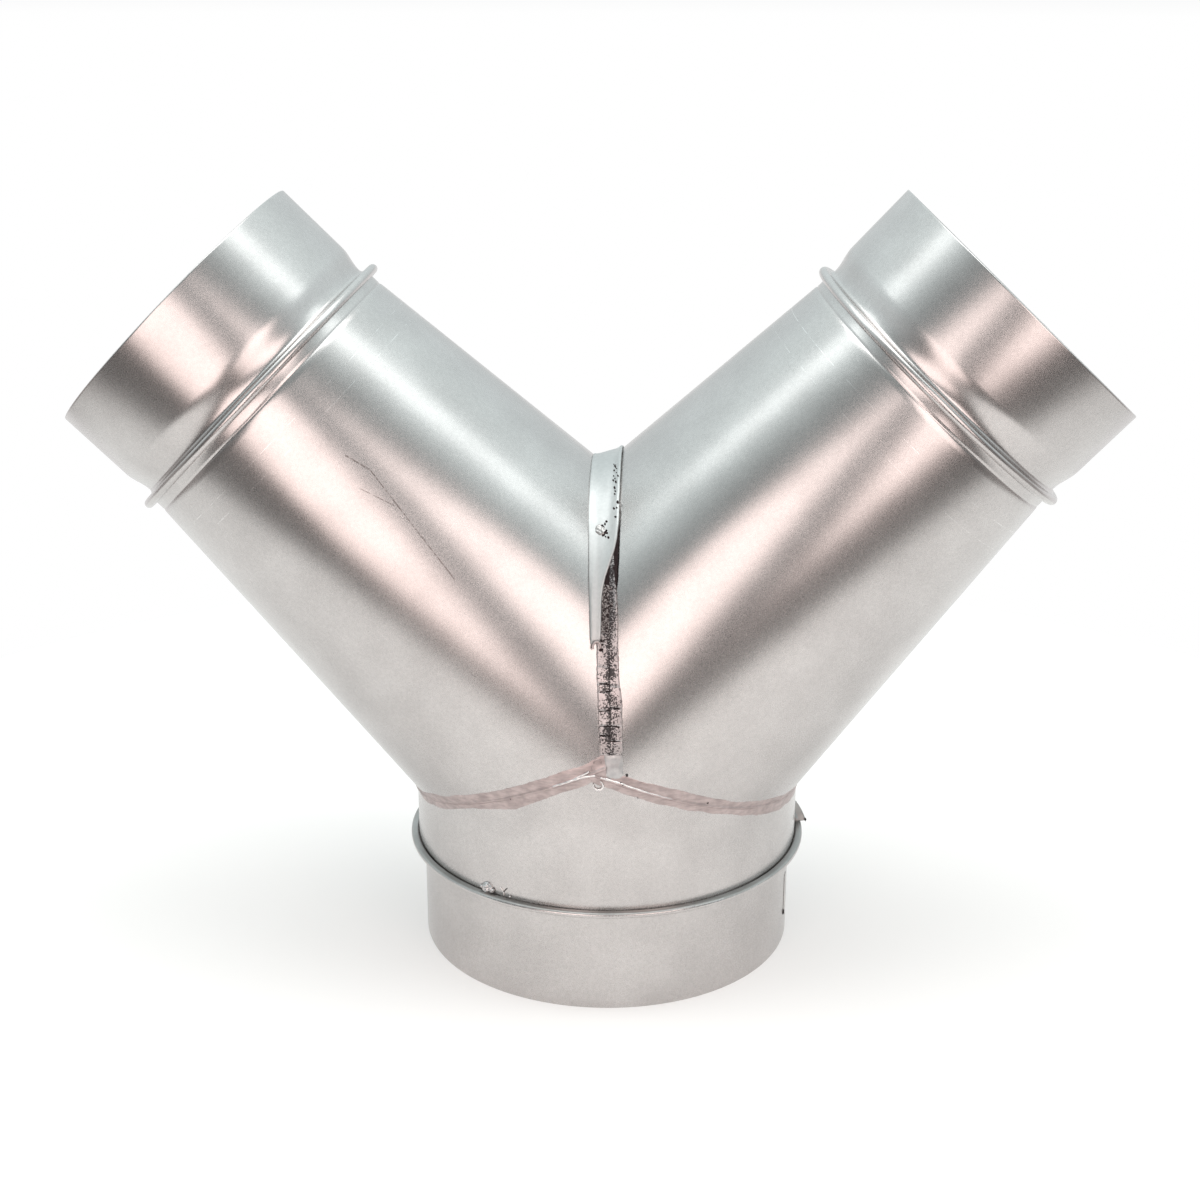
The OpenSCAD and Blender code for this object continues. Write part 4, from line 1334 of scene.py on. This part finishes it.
# %% [markdown]
# ## Floor
# The fitting stands on a pale floor. Its open part reads as white, and only the object's
# own shadow darkens it. So the floor as it is seen, straight or mirrored in metal, is a
# matt white with a little glow added, while the light it throws back is that of plain
# matt paint. Light Path tells the two apart.

# %% Floor
FLOOR_RADIUS = 0.385
FLOOR_DROP = 0.0002
FLOOR_PAINT = (0.66, 0.64, 0.63, 1)
SEEN_PAINT = (0.66, 0.635, 0.62, 1)
SEEN_GLOW = 0.34


def any_ray(tree, *kinds):
    """1 where a ray is one of the named kinds."""
    path = tree.nodes.new("ShaderNodeLightPath")
    found = path.outputs[kinds[0]]
    for kind in kinds[1:]:
        found = math_node(tree, "MAXIMUM", found, path.outputs[kind])
    return found


def stage_floor():
    """A pale disc under the object; it stays white where it is open and keeps the shadow."""
    mesh = bpy.data.meshes.new("floor")
    turns = [2 * math.pi * k / 96 for k in range(96)]
    rim = [(FLOOR_RADIUS * math.cos(t), FLOOR_RADIUS * math.sin(t), 0) for t in turns]
    mesh.from_pydata(rim, [], [list(range(len(rim)))])
    floor = bpy.data.objects.new("floor", mesh)
    floor.location.z = -FLOOR_DROP
    material, tree, shader = new_material("pale_floor")
    shader.inputs["Base Color"].default_value = FLOOR_PAINT
    shader.inputs["Roughness"].default_value = 0.8
    glow = tree.nodes.new("ShaderNodeEmission")
    glow.inputs["Strength"].default_value = SEEN_GLOW
    matt = tree.nodes.new("ShaderNodeBsdfDiffuse")
    matt.inputs["Color"].default_value = SEEN_PAINT
    seen = tree.nodes.new("ShaderNodeAddShader")
    tree.links.new(glow.outputs[0], seen.inputs[0])
    tree.links.new(matt.outputs[0], seen.inputs[1])
    pick = tree.nodes.new("ShaderNodeMixShader")
    rays = any_ray(tree, "Is Camera Ray", "Is Glossy Ray", "Is Transmission Ray")
    tree.links.new(rays, pick.inputs["Fac"])
    tree.links.new(shader.outputs[0], pick.inputs[1])
    tree.links.new(seen.outputs[0], pick.inputs[2])
    tree.links.new(pick.outputs[0], tree.nodes["Material Output"].inputs["Surface"])
    mesh.materials.append(material)
    bpy.context.scene.collection.objects.link(floor)
    print("floor radius (mm):", FLOOR_RADIUS / MM)


stage_floor()

# %% [markdown]
# ## Room
# Metal mirrors its surroundings, so the room is part of the picture. Each direction has a
# height (Z) and a depth (Y). Up high the room is bright and cool, level with the eye it is
# a middle grey, and in front, where the camera stands, it is dark: that draws the dark
# bands along each tube. Behind and below the object it is plain white, which is the
# background of the picture, and the metal mirrors that white as well.

# %% Room
ROOM_BY_HEIGHT = ((0.0, (0.44, 0.41, 0.40)), (0.45, (0.46, 0.44, 0.43)), (0.55, (0.80, 0.86, 0.87)),
                  (0.74, (0.92, 1.03, 1.05)), (0.84, (1.04, 1.18, 1.19)), (1.0, (1.05, 1.18, 1.19)))
FRONT_IS_DARK = ((0.60, 1.0), (0.78, 0.33))
WHITE_BEHIND = ((0.66, 0.0), (0.80, 1.0))
WHITE_BELOW = ((0.488, 1.0), (0.53, 0.0))
WHITE = (1, 1, 1, 1)
world = bpy.data.worlds.new("studio")
bpy.context.scene.world = world
world.use_nodes = True
room_tree = world.node_tree
split = room_tree.nodes.new("ShaderNodeSeparateXYZ")
directions = room_tree.nodes.new("ShaderNodeTexCoord").outputs["Generated"]
room_tree.links.new(directions, split.inputs[0])


def as_share(direction, scale):
    """A direction's part along one axis, from -1..1 to 0..1, or turned round."""
    return math_node(room_tree, "MULTIPLY_ADD", split.outputs[direction], scale, 0.5)


by_height = ramp_node(room_tree, as_share("Z", 0.5), ROOM_BY_HEIGHT)
by_front = ramp_node(room_tree, as_share("Y", -0.5), FRONT_IS_DARK)
room = mix_node(room_tree, 1.0, by_height, by_front, "MULTIPLY")
behind = ramp_node(room_tree, as_share("Y", 0.5), WHITE_BEHIND)
below = ramp_node(room_tree, as_share("Z", 0.5), WHITE_BELOW)
backdrop = math_node(room_tree, "MULTIPLY", behind, below)
seen_room = mix_node(room_tree, backdrop, room, WHITE)
room_tree.links.new(seen_room, room_tree.nodes["Background"].inputs["Color"])
print("room, from below to above:", [colour for _, colour in ROOM_BY_HEIGHT])

# %% [markdown]
# ## Lamps
# Two warm softboxes stand close in front, one on each side of the camera, and a long thin
# lamp hangs over the branches. They are about half a metre away. A lamp as near as that
# is mirrored at another height by each part of a tube, so its edges run slantwise along
# the branches, as they do in a real small studio. A large lamp high above fills the rest.

# %% Softboxes
LIGHT_CENTRE = Vector((0, 0, 0.20))
NEAR_LAMP = 0.5
WARM = (1.0, 0.84, 0.80)


def softbox(name, azimuth, elevation, distance, size, radiance, colour):
    """Area light that faces the object. Its power gives the radiance that metal mirrors."""
    a, e = math.radians(azimuth), math.radians(elevation)
    at = Vector((math.sin(a) * math.cos(e), -math.cos(a) * math.cos(e), math.sin(e))) * distance
    lamp = bpy.data.lights.new(name, "AREA")
    lamp.shape = "RECTANGLE"
    lamp.size, lamp.size_y = size
    lamp.energy = radiance * math.pi * size[0] * size[1]
    lamp.color = colour
    holder = bpy.data.objects.new(name, lamp)
    holder.location = LIGHT_CENTRE + at
    holder.rotation_euler = (-at).to_track_quat("-Z", "Y").to_matrix().to_euler()
    bpy.context.scene.collection.objects.link(holder)
    print(name, "at (m):", [round(v, 3) for v in holder.location])


softbox("left_light", -17, 4, NEAR_LAMP, (0.25, 0.36), 2.25, WARM)
softbox("right_light", 27, 11, NEAR_LAMP, (0.26, 0.38), 2.25, WARM)
softbox("strip_light", 0, 82, 0.42, (1.0, 0.14), 1.15, (0.95, 1.0, 1.0))
softbox("top_light", 0, 89, 1.6, (1.6, 1.0), 1.6, (1.0, 0.97, 0.96))

# %% [markdown]
# ## Close
# The last lines set how the picture's colours are shown.

# %% Colour settings
scene = bpy.context.scene
scene.view_settings.view_transform = "Standard"
